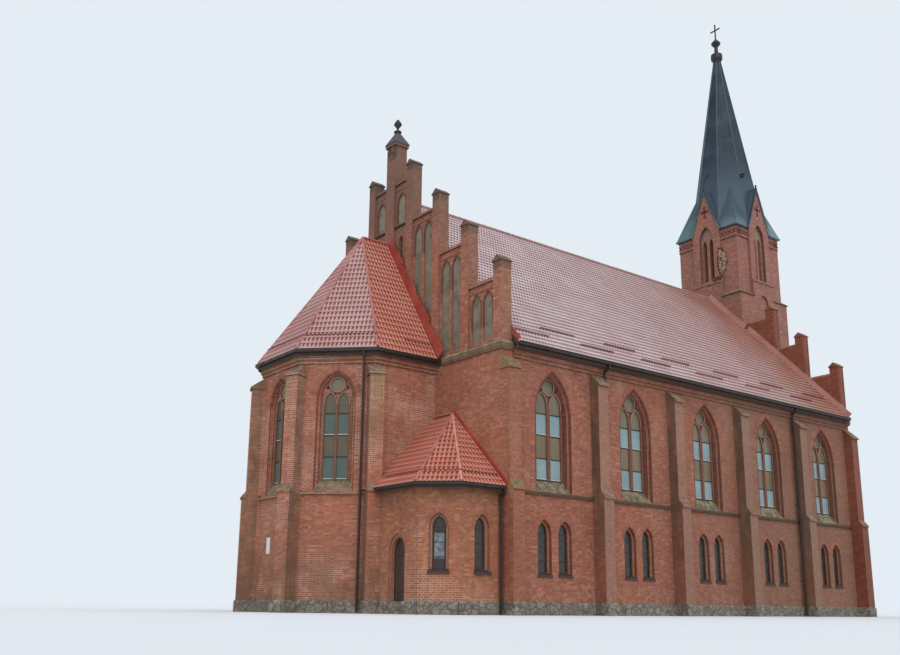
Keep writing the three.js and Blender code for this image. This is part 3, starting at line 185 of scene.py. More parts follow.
class Measure:
    """A number or colour that the shader works out at each point."""

    def __init__(self, finish, socket):
        self.finish, self.socket = finish, socket

    def __mul__(self, other):
        return self.finish.sum("MULTIPLY", self, other)

    def __add__(self, other):
        return self.finish.sum("ADD", self, other)

    def __sub__(self, other):
        return self.finish.sum("SUBTRACT", self, other)

    def __rsub__(self, other):
        return self.finish.sum("SUBTRACT", other, self)

    def __abs__(self):
        return self.finish.sum("ABSOLUTE", self)

    def rise(self, low, high):
        """From 0 at low to 1 at high, with soft ends."""
        return self.finish.read("ShaderNodeMapRange", {"Value": self, "From Min": low, "From Max": high},
                                interpolation_type="SMOOTHSTEP")

    def between(self, low, high, soft=0.004):
        return self.rise(low - soft, low + soft) * self.rise(high + soft, high - soft)


def paint(colour):
    """A colour as given, from 0 to 255, as the shader wants it."""
    if len(colour) == 4:
        return colour
    return (*[(c / 255) ** 2.2 for c in colour], 1.0)


COURSE = 0.077
BRICK_LONG = 0.26
JOINT = 0.011
RED_BRICK = ((0.0, (133, 79, 61)), (0.4, (144, 88, 69)), (0.8, (155, 98, 78)), (1.0, (168, 113, 92)))
MOSS = (106, 94, 70)
# The soot colour serves both the rain streaks of soot and the shade painted on faces that look downwards.
SOOT_AND_SHADE = (60, 50, 43)


def bricks(finish, tones, joint, washed, wash_share):
    """Cross bond brickwork, with joints that have washed out pale in patches. Gives its height."""
    brick, bed = finish.laid(finish.along_and_up(), BRICK_LONG, COURSE, JOINT / 2,
                             ((0, 0, 0), (255, 255, 255), (128, 128, 128)), squash=0.5, smooth=0.3)
    patches = finish.noise(0.45, 6).rise(0.62 - 0.25 * wash_share, 0.78 - 0.25 * wash_share)
    finish.colour = finish.shades(brick, tones)
    finish.tint(bed, finish.mix(patches, joint, washed))
    return finish.noise(60, 3) * 0.25 + (1.0 - bed)


def weathered(finish, dark):
    """Broad stains, warmer patches, rain streaks, and a bloom of lime above the ground."""
    stains = finish.shades(finish.noise(0.5, 6), ((0.34, (214, 206, 200)), (0.6, (255, 255, 255))))
    finish.tint(dark, stains, "MULTIPLY")
    warm = finish.noise(0.75, 5, (1, 1, 0.6)).rise(0.5, 0.68)
    finish.tint(warm * 0.3, (166, 92, 60))
    streaks = finish.noise(1.6, 5, (1, 1, 0.12)).rise(0.58, 0.78)
    finish.tint(streaks * (0.45 * dark), SOOT_AND_SHADE)
    bloom = finish.z.rise(1.9, 0.5) * finish.noise(3.5, 6).rise(0.48, 0.62)
    finish.tint(bloom * 0.2, (178, 150, 130))


def fieldstones(finish):
    """Colour and height of a rubble plinth, stones of about 300 mm in grey mortar."""
    place = finish.vector("MULTIPLY", finish.place, (3.2, 3.2, 4.4))
    cells = finish.read("ShaderNodeTexVoronoi", {"Vector": place, "Scale": 1.0}, "Color")
    edges = finish.read("ShaderNodeTexVoronoi", {"Vector": place, "Scale": 1.0}, feature="DISTANCE_TO_EDGE")
    stone = finish.shades(cells, (
        (0.1, (96, 88, 78)), (0.4, (120, 113, 100)), (0.65, (110, 90, 78)), (0.9, (136, 129, 116))))
    stone = finish.mix(0.35, stone, finish.shades(finish.noise(9, 5), ((0.35, (60, 58, 50)), (0.7, (176, 170, 158)))))
    bed = edges.rise(0.03, 0.09)
    return finish.mix(bed, (88, 82, 72), stone), bed


def mossy_top(finish, pale, green):
    """Colour of a sloping cap of brick and mortar that rain keeps wet."""
    top = finish.mix(finish.noise(3.2, 6).rise(0.42, 0.6), pale, green)
    return finish.mix(finish.noise(9, 4).rise(0.46, 0.66) * 0.75, top, (84, 70, 56))


def wall_finish(name, tones=RED_BRICK, joint=(138, 94, 75), washed=(180, 148, 128), wash_share=0.3,
                dark=0.45, extra=None, pale=(138, 110, 93), green=MOSS, over=None):
    """A brick wall from the plinth up, its sloping tops mossy and its undersides painted dark as shade."""
    finish = Finish(name, 0.88)
    height = bricks(finish, tones, joint, washed, wash_share)
    weathered(finish, dark)
    if extra:
        extra(finish)
    finish.tint(finish.tilt.rise(0.15, 0.3), mossy_top(finish, pale, green))
    # Faces that look downwards are painted dark in the soot colour as shade.
    finish.tint(finish.tilt.rise(-0.93, -0.99), SOOT_AND_SHADE)
    if over:
        over(finish)
    stone, bed = fieldstones(finish)
    plinth = finish.z.rise(0.47, 0.455)
    finish.tint(plinth, stone)
    return finish.done(finish.read("ShaderNodeMix", {0: plinth, 2: height, 3: bed}), 0.003, 0.35)


def dress(names, material):
    for name in names:
        for slot in frame["nodes"][name].material_slots:
            slot.material = material


EAST = -11.0254
NAVE_HALF = 7.7
REVEAL_BACK = 7.36
MOULDING = 0.068


def buttress_grey(finish, share=1.0):
    """Sides of a buttress dark with old growth and painted shade, and its front paler with pale specks, as shares of
    how far it stands out.
    """
    out = abs(finish.x)
    growth = finish.noise(1.3, 6, (1, 1, 0.4))
    side = abs(finish.facing_y).rise(0.8, 0.95) * out.rise(NAVE_HALF + 0.005, NAVE_HALF + 0.02)
    growth_and_shade = finish.shades(growth, ((0.3, (72, 60, 46)), (0.55, (88, 73, 57)), (0.75, (112, 90, 73))))
    growth_and_shade = finish.mix(finish.z.rise(4.4, 1.0), growth_and_shade, (118, 76, 56))
    cover = finish.noise(2.6, 6, (1, 1, 0.6)).rise(0.4, 0.62) * 0.4 + 0.4
    # The sides are darkened both with growth and as painted shade.
    finish.tint(side * (cover * share), growth_and_shade)
    front = abs(finish.facing_x).rise(0.8, 0.95) * out.rise(NAVE_HALF + 0.4, NAVE_HALF + 0.42)
    specks = finish.noise(11, 3).rise(0.6, 0.7)
    finish.tint(front * (0.5 * math.sqrt(share)), finish.mix(specks, (130, 105, 89), (160, 138, 122)))


def string_course(finish):
    out = abs(finish.x)
    sill = finish.tilt.rise(0.15, 0.3) * (finish.z.between(4.4, 5.1) * out.rise(7.715, 7.705))
    finish.tint(sill, mossy_top(finish, (132, 122, 100), (98, 88, 64)))
    string = finish.z.between(4.345, 4.52) * out.between(7.705, 7.79)
    finish.tint(string, finish.mottle((56, 43, 32), (94, 76, 54), 3, 4))


def nave_weather(finish):
    """Algae under the gutter, moss on the string course, and dark lines of painted shade between the mouldings of the
    window reveals.
    """
    out = abs(finish.x)
    algae = finish.noise(0.7, 5, (1, 1, 0.35)).rise(0.55, 0.72) * finish.z.rise(6.5, 9.8)
    finish.tint(algae * 0.45, (114, 102, 68))
    finish.tint(finish.y.rise(EAST + 6, EAST + 18) * 0.5, (104, 84, 68))
    # Dark lines on the flat jambs of the reveals are painted shade in the creases between the mouldings.
    wave = finish.sum("PINGPONG", out - REVEAL_BACK, MOULDING / 2)
    jamb = abs(finish.facing_y).rise(0.8, 0.95) * out.between(REVEAL_BACK, NAVE_HALF - 0.002)
    finish.tint(jamb * wave.rise(0.02, 0.01), (82, 50, 41))
    buttress_grey(finish)


def corner_weather(finish):
    """The corners of the end walls, with bright moss below the cornice, and the plastered niches of the west."""
    out = abs(finish.x)
    finish.tint(finish.z.rise(5.0, 3.5), (242, 230, 226), "MULTIPLY")
    finish.tint(finish.y.rise(EAST + 15, EAST + 22), (208, 184, 180), "MULTIPLY")
    finish.tint(abs(finish.facing_x).rise(0.8, 0.95), (238, 228, 222), "MULTIPLY")
    patch = finish.noise(2.4, 5).rise(0.48, 0.6) * (finish.z.between(8.9, 9.62, 0.1) * out.rise(7.2, 7.5))
    finish.tint(patch * 0.65, (104, 110, 70))
    back = finish.y.between(EAST + 23.74, EAST + 23.76, 0.002) * finish.z.rise(10.1, 10.2)
    finish.tint(back, finish.mottle((112, 110, 88), (142, 136, 116), 3.0, 6))
    buttress_grey(finish, 0.12)


nave_names = [f"nave_wall_{side}_{bay}" for side in ("right", "left") for bay in range(1, 6)]
dress(nave_names, wall_finish("nave_brick", extra=nave_weather, over=string_course))
dress(["east_wall", "west_wall_right", "west_wall_left"],
      wall_finish("end_wall_brick", tones=((0.0, (146, 87, 64)), (0.4, (157, 97, 72)), (1.0, (174, 117, 93))),
                  dark=0.35, extra=corner_weather, over=string_course, pale=(144, 104, 86), green=(104, 106, 68)))


# Stepped gables
# Brick gables with pinnacles at each step, their niches plastered, their copings and caps of stone slabs.
# The stone is grey and mossy, the middle pinnacle has a slate roof, and soot has darkened the tops.
NICHE_BACK = EAST + 0.25
MIDDLE_TOP = 21.07


def gable_stone(finish):
    tops = finish.z.rise(13.5, 18.5) * 0.78
    finish.tint(tops, finish.mottle((80, 60, 53), (118, 86, 73), 1.2, 5))
    for at, cap in ((1.5, 19.52), (3.48, 17.39), (5.45, 15.31), (7.46, 13.22)):
        block = abs(finish.x).between(at - 0.36, at + 0.36) * finish.z.rise(cap - 0.34, cap - 0.28)
        finish.tint(block * 0.7, (78, 65, 58))
    side = abs(finish.facing_x).rise(0.8, 0.95)
    lichen = finish.mix(finish.noise(9, 4).rise(0.55, 0.66), (112, 86, 71), (144, 124, 106))
    finish.tint(side * 0.4, lichen)
    plaster = finish.shades(finish.noise(3.0, 6), (
        (0.3, (108, 104, 80)), (0.5, (132, 124, 102)), (0.75, (150, 142, 120))))
    back = finish.y.between(NICHE_BACK - 0.01, NICHE_BACK + 0.01, 0.002) * finish.facing_y.rise(-0.8, -0.9)
    finish.tint(back, plaster)
    cornice = finish.z.rise(10.05, 10.03)
    finish.tint(cornice * 0.8, mossy_top(finish, (118, 100, 80), (88, 80, 56)))
    stain = finish.noise(3, 5).rise(0.4, 0.55) * finish.z.between(20.25, 20.95, 0.12)
    stain = stain * finish.y.rise(EAST + 0.12, EAST + 0.05)
    finish.tint(stain * 0.75, (52, 40, 40))


def middle_roof(finish):
    ledge = finish.z.rise(10.12, 10.1) * finish.tilt.rise(0.15, 0.3)
    finish.tint(ledge, mossy_top(finish, (160, 150, 124), (120, 116, 80)))
    slate = finish.mottle((58, 56, 60), (92, 88, 90), 6, 5)
    finish.tint(finish.z.rise(MIDDLE_TOP - 0.01, MIDDLE_TOP + 0.01), slate)
    knob = finish.z.rise(21.76, 21.78)
    finish.tint(knob, finish.mottle((42, 44, 40), (66, 66, 58), 8, 4))


dress(["east_gable"], wall_finish("gable_brick", tones=(
    (0.0, (140, 86, 66)), (0.4, (154, 97, 75)), (0.75, (166, 107, 83)), (1.0, (176, 124, 102))),
    joint=(140, 98, 79), wash_share=0.1, dark=0.45, extra=gable_stone, over=middle_roof,
    pale=(106, 92, 84), green=(88, 82, 66)))


# Apse walls and buttresses
# Five faces of an octagon with a buttress on each corner, in the same brick as the nave.
# The joints stand out pale between the string course and the ground, and algae runs down from the eaves.
APSE_MIDDLE = EAST - 1.4


def apse_weather(finish):
    away = finish.vector("MULTIPLY", finish.vector("SUBTRACT", finish.place, (0, APSE_MIDDLE, 0)), (1, 1, 0))
    # The sides of the buttresses are darkened both with growth and as painted shade.
    side = finish.vector("DOT_PRODUCT", finish.facing, finish.vector("NORMALIZE", away)).rise(0.75, 0.5)
    apart = finish.vector("LENGTH", away).rise(3.9, 4.0)
    growth = finish.noise(1.3, 6, (1, 1, 0.4))
    growth_and_shade = finish.shades(growth, ((0.3, (88, 72, 54)), (0.55, (104, 86, 64)), (0.75, (122, 98, 78))))
    cover = finish.noise(2.6, 6, (1, 1, 0.6)).rise(0.4, 0.62) * 0.35 + 0.35
    finish.tint(side * apart * cover, growth_and_shade)
    algae = finish.noise(0.9, 5, (1, 1, 0.3)).rise(0.5, 0.66) * finish.z.rise(5.5, 8.5)
    finish.tint(algae * (apart * 0.6), (116, 110, 70))
    damp = finish.z.rise(3.2, 0.9) * finish.noise(1.5, 5).rise(0.3, 0.55)
    finish.tint(damp * 0.55, (98, 72, 50))
    # Patches of painted shade darken the top of the wall just under the eaves.
    eave_shade = finish.z.rise(9.3, 9.8) * finish.noise(2, 4).rise(0.35, 0.6)
    finish.tint(eave_shade * 0.4, (84, 66, 50))


apse_names = [f"apse_wall_{name}" for name in
              ("side_right", "diagonal_right", "end", "diagonal_left", "side_left")]
apse_names += [f"apse_buttress_{name}" for name in ("right", "end_right", "end_left", "left")]
dress(apse_names, wall_finish("apse_brick", tones=(
    (0.0, (138, 82, 62)), (0.4, (150, 91, 70)), (0.8, (161, 101, 79)), (1.0, (173, 118, 97))),
    joint=(156, 112, 92), washed=(214, 188, 168), wash_share=0.72, dark=0.45, extra=apse_weather))


# Sacristy walls
# Lower and newer brick than the nave, on the same plinth, its joints bright with lime.
# Water dripping from the eaves has stained the top brown, and the corner beside the apse is grown over.
def annex_weather(finish):
    specks = finish.noise(18, 3).rise(0.66, 0.72)
    share = specks * finish.noise(0.9, 4).rise(0.42, 0.6)
    finish.tint(share * 0.7, (196, 178, 162))
    drips = finish.z.rise(3.5, 4.3) * finish.noise(2.2, 5, (1, 1, 0.3)).rise(0.4, 0.6)
    finish.tint(drips * 0.45, (98, 78, 56))
    corner = finish.x.rise(4.75, 4.1) * finish.noise(1.5, 5).rise(0.3, 0.6)
    finish.tint(corner * 0.6, (108, 94, 72))


annex_names = ["annex_wall_beside_door", "annex_wall_over_door", "annex_wall_corner", "annex_door_frame"]
dress(annex_names, wall_finish("annex_brick", tones=(
    (0.0, (134, 80, 58)), (0.4, (146, 89, 64)), (0.75, (156, 97, 71)), (1.0, (167, 114, 88))),
    joint=(152, 109, 86), washed=(206, 176, 152), wash_share=0.6, dark=0.4, extra=annex_weather))


# Tower
# A square shaft with the same brick, a stone coping where it steps in, and a belfry with gabled bays.
# The heads of the bell openings are plastered, and the crosses over them are painted dark red.
TOWER_Y = 14.4646
RECESS_FACE = 2.02


def tower_weather(finish):
    across, along, _ = finish.split(finish.vector("ABSOLUTE", finish.vector(
        "SUBTRACT", finish.place, (0, TOWER_Y, 0))))
    reach = finish.sum("MAXIMUM", across, along)
    opening = finish.sum("MINIMUM", across, along).rise(0.54, 0.52) * finish.z.between(19.35, 23.2, 0.02)
    # The reveals of the bell openings are darkened as painted shade.
    reveal = opening * reach.between(RECESS_FACE + 0.02, 2.205, 0.004)
    finish.tint(reveal * 0.8, (98, 74, 60))
    head = reach.between(RECESS_FACE - 0.01, RECESS_FACE + 0.015, 0.004) * (opening * finish.z.rise(21.9, 22.3))
    finish.tint(head, finish.mottle((122, 92, 78), (156, 124, 106), 4.0, 5))
    rain = finish.noise(1.1, 5, (1, 1, 0.3)).rise(0.5, 0.7) * finish.z.rise(19.2, 18.0)
    finish.tint(rain * 0.35, (122, 104, 76))


tower_names = [f"{part}_{side}" for part in ("tower_wall", "belfry_wall")
               for side in ("east", "west", "right", "left")]
dress(tower_names, wall_finish("tower_brick", tones=(
    (0.0, (130, 84, 73)), (0.4, (139, 91, 79)), (0.75, (148, 99, 86)), (1.0, (158, 115, 100))),
    joint=(134, 97, 84), wash_share=0.1, dark=0.3, extra=tower_weather, pale=(136, 94, 78), green=(108, 84, 68)))

coping = Finish("coping_stone", 0.9)
coping.colour = coping.mottle((66, 54, 46), (92, 78, 66), 7, 4)
coping.tint(coping.tilt.rise(0.1, 0.3), mossy_top(coping, (140, 118, 98), (104, 94, 70)))
dress(["tower_coping"], coping.done((12, 5), 0.006, 0.6))


# Arches of the windows and doors
# Rings of bricks on edge, cut to the pointed curve, a little proud of the wall, one ring to each step of
# the reveal.
UP = Vector((0, 0, 1))


class Stock:
    """Faces cut for one piece, each with its own tone between 0 and 1."""

    def __init__(self, seed=1):
        self.corners, self.faces, self.tones = [], [], []
        self.pick = random.Random(seed)

    def solid(self, lower, upper, tone=None):
        """A closed block between two rings of corners that run the same way."""
        first, count = len(self.corners), len(lower)
        tone = self.pick.random() if tone is None else tone
        self.corners += [*lower, *upper]
        for i in range(count):
            after = (i + 1) % count
            self.faces.append((first + i, first + after, first + count + after, first + count + i))
        self.faces.append(tuple(first + i for i in reversed(range(count))))
        self.faces.append(tuple(first + count + i for i in range(count)))
        self.tones += [tone] * (count + 2)

    def slab(self, wall, outline, back, front, tone=None):
        """A flat block on a wall, its outline given as distances along the wall and heights."""
        self.solid([wall.at(u, back, z) for u, z in outline], [wall.at(u, front, z) for u, z in outline], tone)

    def strip(self, wall, left, right, height, out, half_tall, half_deep, tone=None):
        """A level bar along a wall, between two distances from its middle."""
        self.bar(wall.at(left, out, height), wall.at(right, out, height), half_tall * UP, half_deep * wall.out, tone)

    def bar(self, start, end, across, deep, tone=None):
        """A bar between two points, given half its width and half its depth as vectors."""
        ring = lambda at: [at - across - deep, at + across - deep, at + across + deep, at - across + deep]
        self.solid(ring(Vector(start)), ring(Vector(end)), tone)

    def tube(self, start, end, radius, sides=8, tone=None, flare=1.0):
        start, end = Vector(start), Vector(end)
        axis = (end - start).normalized()
        side = axis.cross(UP if abs(axis.z) < 0.9 else Vector((1, 0, 0))).normalized()
        other = axis.cross(side)
        ring = lambda at, r: [at + r * (math.cos(a) * side + math.sin(a) * other)
                              for a in (2 * math.pi * i / sides for i in range(sides))]
        self.solid(ring(start, radius), ring(end, radius * flare), tone)

    def piece(self, name, material, slot, smooth=0.0, body="church"):
        mesh = bpy.data.meshes.new(name)
        mesh.from_pydata([tuple(corner) for corner in self.corners], [], self.faces)
        mesh.attributes.new("tone", "FLOAT", "FACE").data.foreach_set("value", self.tones)
        shape = bmesh.new()
        shape.from_mesh(mesh)
        bmesh.ops.recalc_face_normals(shape, faces=shape.faces)
        shape.to_mesh(mesh)
        shape.free()
        if smooth:
            mesh.shade_smooth()
            mesh.set_sharp_from_angle(angle=math.radians(smooth))
        mesh.materials.append(material)
        made = bpy.data.objects.new(name, mesh)
        bpy.context.scene.collection.objects.link(made)
        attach(made, body)


class Wall:
    """A wall face: its middle at ground level, the way it looks, and the way along it to the right."""

    def __init__(self, x, y, angle):
        self.foot = Vector((x, y, 0))
        self.out = Vector((math.cos(angle), math.sin(angle), 0))
        self.along = UP.cross(self.out)

    def at(self, along, out, height):
        return self.foot + along * self.along + out * self.out + height * UP


def arc(half, spring, apex):
    """Radius of one side of a pointed arch, and the angle that it turns through."""
    rise = apex - spring
    radius = (rise * rise + half * half) / (2 * half)
    return radius, math.asin(min(1.0, rise / radius))


def arch_ring(stock, wall, middle, half, spring, apex, thick, front, back):
    radius, turn = arc(half, spring, apex)
    count = max(4, round(radius * turn / COURSE))
    gap = 0.5 * JOINT / radius
    for side in (-1, 1):
        for i in range(count):
            low, high = turn * i / count + gap, turn * (i + 1) / count - gap
            stock.slab(wall, [(middle + side * (half - radius + r * math.cos(a)), spring + r * math.sin(a))
                              for r, a in ((radius - 0.02, low), (radius - 0.02, high),
                                           (radius + thick, high), (radius + thick, low))], back, front)
    top = math.sin(turn) * (radius + thick) + spring
    out_at = half - radius + (radius + thick) * math.cos(turn)
    stock.slab(wall, [(middle, apex), (middle + out_at, top), (middle, top + out_at * 0.4), (middle - out_at, top)],
               back, front)


NAVE_WINDOW = {"outer": 0.93, "inner": 0.80, "spring": 7.6, "apex": 9.2, "inner_apex": 9.06, "plane": -0.34,
               "light": 0.285, "apart": 0.365, "light_spring": 7.87, "light_apex": 8.36, "eye": 0.305,
               "eye_at": 8.61, "rib": 0.036, "bars": (4.98, 5.80, 6.70, 7.54)}
APSE_WINDOW = {"outer": 0.75, "inner": 0.62, "spring": 8.15, "apex": 9.15, "inner_apex": 9.02, "plane": -0.22,
               "light": 0.215, "apart": 0.262, "light_spring": 7.95, "light_apex": 8.33, "eye": 0.275,
               "eye_at": 8.62, "rib": 0.024, "bars": (4.93, 5.80, 6.64, 7.49)}
APSE_IN = 3.65
BAY = (24.0 - 0.56) / 5
WINDOW_AT = [EAST + 0.28 + BAY * (bay + 0.5) for bay in range(5)]
nave_sides = [Wall(NAVE_HALF, 0, 0), Wall(-NAVE_HALF, 0, math.pi)]
apse_sides = [Wall(APSE_IN * math.cos(angle), APSE_MIDDLE + APSE_IN * math.sin(angle), angle)
              for angle in (-math.pi / 4, -math.pi / 2, -3 * math.pi / 4, math.pi)]
west_side = Wall(0, EAST + 27.79, math.pi / 2)
ANNEX_FACE = EAST - 2.95
annex_front = Wall(0, ANNEX_FACE, -math.pi / 2)
annex_corner = Wall(7.2, EAST - 2.45, -math.pi / 4)
annex_side = Wall(NAVE_HALF, 0, 0)

big_windows = [(wall, wall.along.y * y, NAVE_WINDOW, 0.0) for wall in nave_sides for y in WINDOW_AT]
big_windows += [(wall, 0.0, APSE_WINDOW, 0.0) for wall in apse_sides]
big_windows += [(west_side, 0.0, NAVE_WINDOW, 2.2)]
nave_small = [(wall, wall.along.y * y + side * 0.53) for wall in nave_sides for y in WINDOW_AT for side in (-1, 1)]
annex_small = [(annex_corner, 0.0), (annex_side, EAST - 0.9)]

rings = Stock(3)
for wall, middle, size, lift in big_windows:
    arch_ring(rings, wall, middle, size["outer"], size["spring"] + lift, size["apex"] + lift, 0.24, 0.004, -0.12)
    arch_ring(rings, wall, middle, size["inner"], size["spring"] + lift, size["inner_apex"] + lift, 0.11, -0.126,
              size["plane"] + 0.01)
SMALL_HALF, SMALL_SPRING = 0.35, 3.0
for wall, middle in nave_small + annex_small:
    arch_ring(rings, wall, middle, SMALL_HALF, SMALL_SPRING, 3.48, 0.14, 0.004, -0.12)
arch_ring(rings, annex_front, 5.4, 0.51, 2.35, 2.93, 0.12, 0.004, -0.1)
arch_ring(rings, west_side, 0, 1.04, 2.5, 4.0, 0.24, 0.004, -0.1)
ring_finish = Finish("arch_brick", 0.88)
ring_finish.colour = ring_finish.shades(ring_finish.own("tone"), ((0.0, (130, 78, 61)), (1.0, (158, 101, 81))))
weathered(ring_finish, 0.4)
rings.piece("arch_bricks", ring_finish.done((60, 3), 0.003, 0.5), "brick")


# Window tracery and glass
# Two pointed lights and a round eye, the mullion and ribs of moulded brick in a dark tone that is partly painted
# shade, each rib edged with a thin pale strip painted as a highlight. Flat panes stand between iron bars, alternately
# clear blue and yellowed, and small gaps between the ribs are painted dark as shade.
ribs, gaps, panes, bars, pale_bars, shadow_lines = Stock(5), Stock(6), Stock(7), Stock(8), Stock(9), Stock(38)
DARK, HEAD, APSE_OLIVE, OLIVE, APSE_CLEAR, CLEAR = 0.1, 0.3, 0.42, 0.6, 0.75, 0.9
# The pale rib tone marks the thin strips painted as highlights along the ribs; the darker brick rib tone is partly
# painted shade.
BRICK_RIB, HIGHLIGHT_RIB = 0.15, 0.85


def pointed(half, spring, apex, steps=7):
    """Right side of a pointed arch from the spring to the apex, as distances from its middle and heights."""
    radius, turn = arc(half, spring, apex)
    return [(half - radius + radius * math.cos(turn * i / steps), spring + radius * math.sin(turn * i / steps))
            for i in range(steps + 1)]


def whole_arch(middle, half, foot, spring, apex):
    """Outline of a pointed opening, from the right foot over the apex to the left foot."""
    side = pointed(half, spring, apex)
    return [(middle + half, foot), *((middle + u, z) for u, z in side),
            *((middle - u, z) for u, z in reversed(side[:-1])), (middle - half, foot)]


def rail(stock, wall, line, half_wide, back, front, closed=False, tone=0.5):
    """A rib that follows a line on the wall: a bar from corner to corner with mitred ends."""
    count = len(line)
    edges = []
    for i, (u, z) in enumerate(line):
        before = line[i - 1] if (closed or i) else line[i]
        after = line[(i + 1) % count] if (closed or i + 1 < count) else line[i]
        run = Vector((after[0] - before[0], after[1] - before[1])).normalized()
        edges.append(((u - run.y * half_wide, z + run.x * half_wide), (u + run.y * half_wide, z - run.x * half_wide)))
    for i in range(count if closed else count - 1):
        (a, b), (c, d) = edges[i], edges[(i + 1) % count]
        stock.slab(wall, (a, b, d, c), back, front, tone)


def pane(stock, wall, outline, out, tone):
    stock.slab(wall, outline, out - 0.006, out, tone)


def box(left, low, right, high):
    return [(left, low), (right, low), (right, high), (left, high)]


def ring_line(middle, height, radius, count):
    turns = [2 * math.pi * i / count for i in range(count)]
    return [(middle + radius * math.cos(a), height + radius * math.sin(a)) for a in turns]


def glaze(wall, middle, size, lift, clear, olive):
    plane, half, apart, rib = size["plane"], size["light"], size["apart"], size["rib"]
    glass = plane + 0.01
    spring, apex, eye_at = (size[key] + lift for key in ("light_spring", "light_apex", "eye_at"))
    levels = [height + lift for height in size["bars"]]
    for side in (-1, 1):
        centre = middle + side * apart
        for i in range(3):
            pane(panes, wall, box(centre - half, levels[i], centre + half, levels[i + 1]), glass,
                 olive if i % 2 else clear)
        pane(panes, wall, whole_arch(centre, half, levels[3], spring, apex), glass,
             HEAD if size is NAVE_WINDOW else olive)
        for i, height in enumerate(levels):
            bars.strip(wall, centre - half, centre + half, height, glass + 0.012, 0.018, 0.01, 0.4)
            if i in (0, 2):
                pale_bars.strip(wall, centre - half, centre + half, height + 0.032, glass + 0.012, 0.012, 0.008, 0.6)
        rail(ribs, wall, whole_arch(centre, half + rib, levels[0] - 0.02, spring, apex + 1.2 * rib), rib, plane - 0.01,
             plane + 0.07, tone=BRICK_RIB)
        rail(ribs, wall, whole_arch(centre, half + 0.012, spring - 0.1, spring, apex + 0.014), 0.011,
             plane, plane + 0.08, tone=HIGHLIGHT_RIB)
        # Dark slabs beside the eye stand for the openings of the tracery, painted as shade.
        gaps.slab(wall, [(middle + side * (size["eye"] + past), eye_at + up)
                         for past, up in ((0.1, 0.02), (0.2, -0.14), (0.07, -0.16))], plane - 0.01, plane + 0.006, 0.2)
    for past, wide, low, high, tone in ((0.03, 0.03, -0.01, 0.07, BRICK_RIB), (0.012, 0.012, 0, 0.08, HIGHLIGHT_RIB)):
        rail(ribs, wall, ring_line(middle, eye_at, size["eye"] + past, 24), wide, plane + low, plane + high,
             closed=True, tone=tone)
    pane(panes, wall, ring_line(middle, eye_at, size["eye"], 24), glass + 0.002, HEAD)
    # Thin dark rails along the outer and inner edges of each arch are painted shadow lines.
    low, outer = size["bars"][0] - 0.45 + lift, size["outer"]
    for half, foot, apex, out in ((outer + 0.01, low, size["apex"] + lift + 0.012, 0.002),
                                  (size["inner"] + 0.012, low + 0.3, size["inner_apex"] + lift + 0.014, -0.122)):
        rail(shadow_lines, wall, whole_arch(middle, half, foot, size["spring"] + lift, apex), 0.012,
             out - 0.02, out + 0.006)


for window in big_windows:
    glaze(*window, *((CLEAR, OLIVE) if window[2] is NAVE_WINDOW else (APSE_CLEAR, APSE_OLIVE)))

pane_finish = Finish("window_panes", 0.22)
pane_finish.colour = pane_finish.shades(pane_finish.own("tone"), (
    (0.0, (34, 36, 34)), (0.2, (118, 108, 88)), (0.4, (94, 86, 67)), (0.5, (118, 101, 78)),
    (0.7, (84, 96, 88)), (0.85, (132, 154, 156))), "CONSTANT")
cloud = pane_finish.shades(pane_finish.noise(1.4, 3), ((0.3, (226, 226, 226)), (0.7, (255, 255, 255))))
pane_finish.tint(1.0, cloud, "MULTIPLY")
panes.piece("window_panes", pane_finish.done((2.5, 2), 0.02, 0.2), "glass")

rib_finish = Finish("rib_brick", 0.85)
mottle = rib_finish.noise(6, 5)
rib_finish.colour = rib_finish.mix(mottle, (98, 62, 50), (130, 86, 70))
# High tones get the pale colour, a painted highlight on the thin rib strips; the lime rings take half of it as their
# lime.
rib_finish.tint(rib_finish.own("tone").rise(0.4, 0.6), rib_finish.mix(mottle, (142, 106, 90), (176, 144, 126)))
rib_material = rib_finish.done((40, 3), 0.003, 0.5)
ribs.piece("window_ribs", rib_material, "brick")
shade_material = Finish("dark_gap", 0.95).mottled((9, 3), (30, 24, 21), (48, 38, 33))
gaps.piece("window_gaps", shade_material, "brick")
# This dark brick colour paints the shadow lines round the window arches, and colours the moulded rings of the niches.
shadow_line_and_ring_material = Finish("shadow_line_and_ring_brick", 0.9).mottled((9, 3), (88, 54, 45), (110, 70, 58), (30, 3), 0.002, 0.3)
shadow_lines.piece("window_shadow_lines", shadow_line_and_ring_material, "brick")
iron_material = Finish("window_iron", 0.6, 0.3).mottled((20, 4), (36, 33, 31), (64, 54, 46), (90, 2), 0.001, 0.4)
bars.piece("window_bars", iron_material, "iron")
pale_bars.piece("window_pale_bars", Finish("pale_bar", 0.6).mottled((12, 3), (168, 168, 158), (205, 206, 198)), "iron")

far_glass = Finish("inner_glass", 0.2)
far_glass.colour = far_glass.shades(far_glass.noise(1.1, 4), ((0.35, (34, 40, 40)), (0.7, (72, 80, 78))))
dress(["nave_glass_upper_right", "nave_glass_upper_left", "nave_glass_lower_right", "nave_glass_lower_left",
       "apse_glass", "annex_glass", "west_glass"], far_glass.done((3, 2), 0.02, 0.3))


# Small windows
# Lattice panes set back in the reveal behind a wooden frame, over sloping sills of dark glazed tile.
# The sacristy's windows have a lime ring round the reveal, and the one on the corner is pale glass.
small_panes, frames, sills, lime_rings = Stock(21), Stock(22), Stock(23), Stock(24)
DIAMOND = 0.06


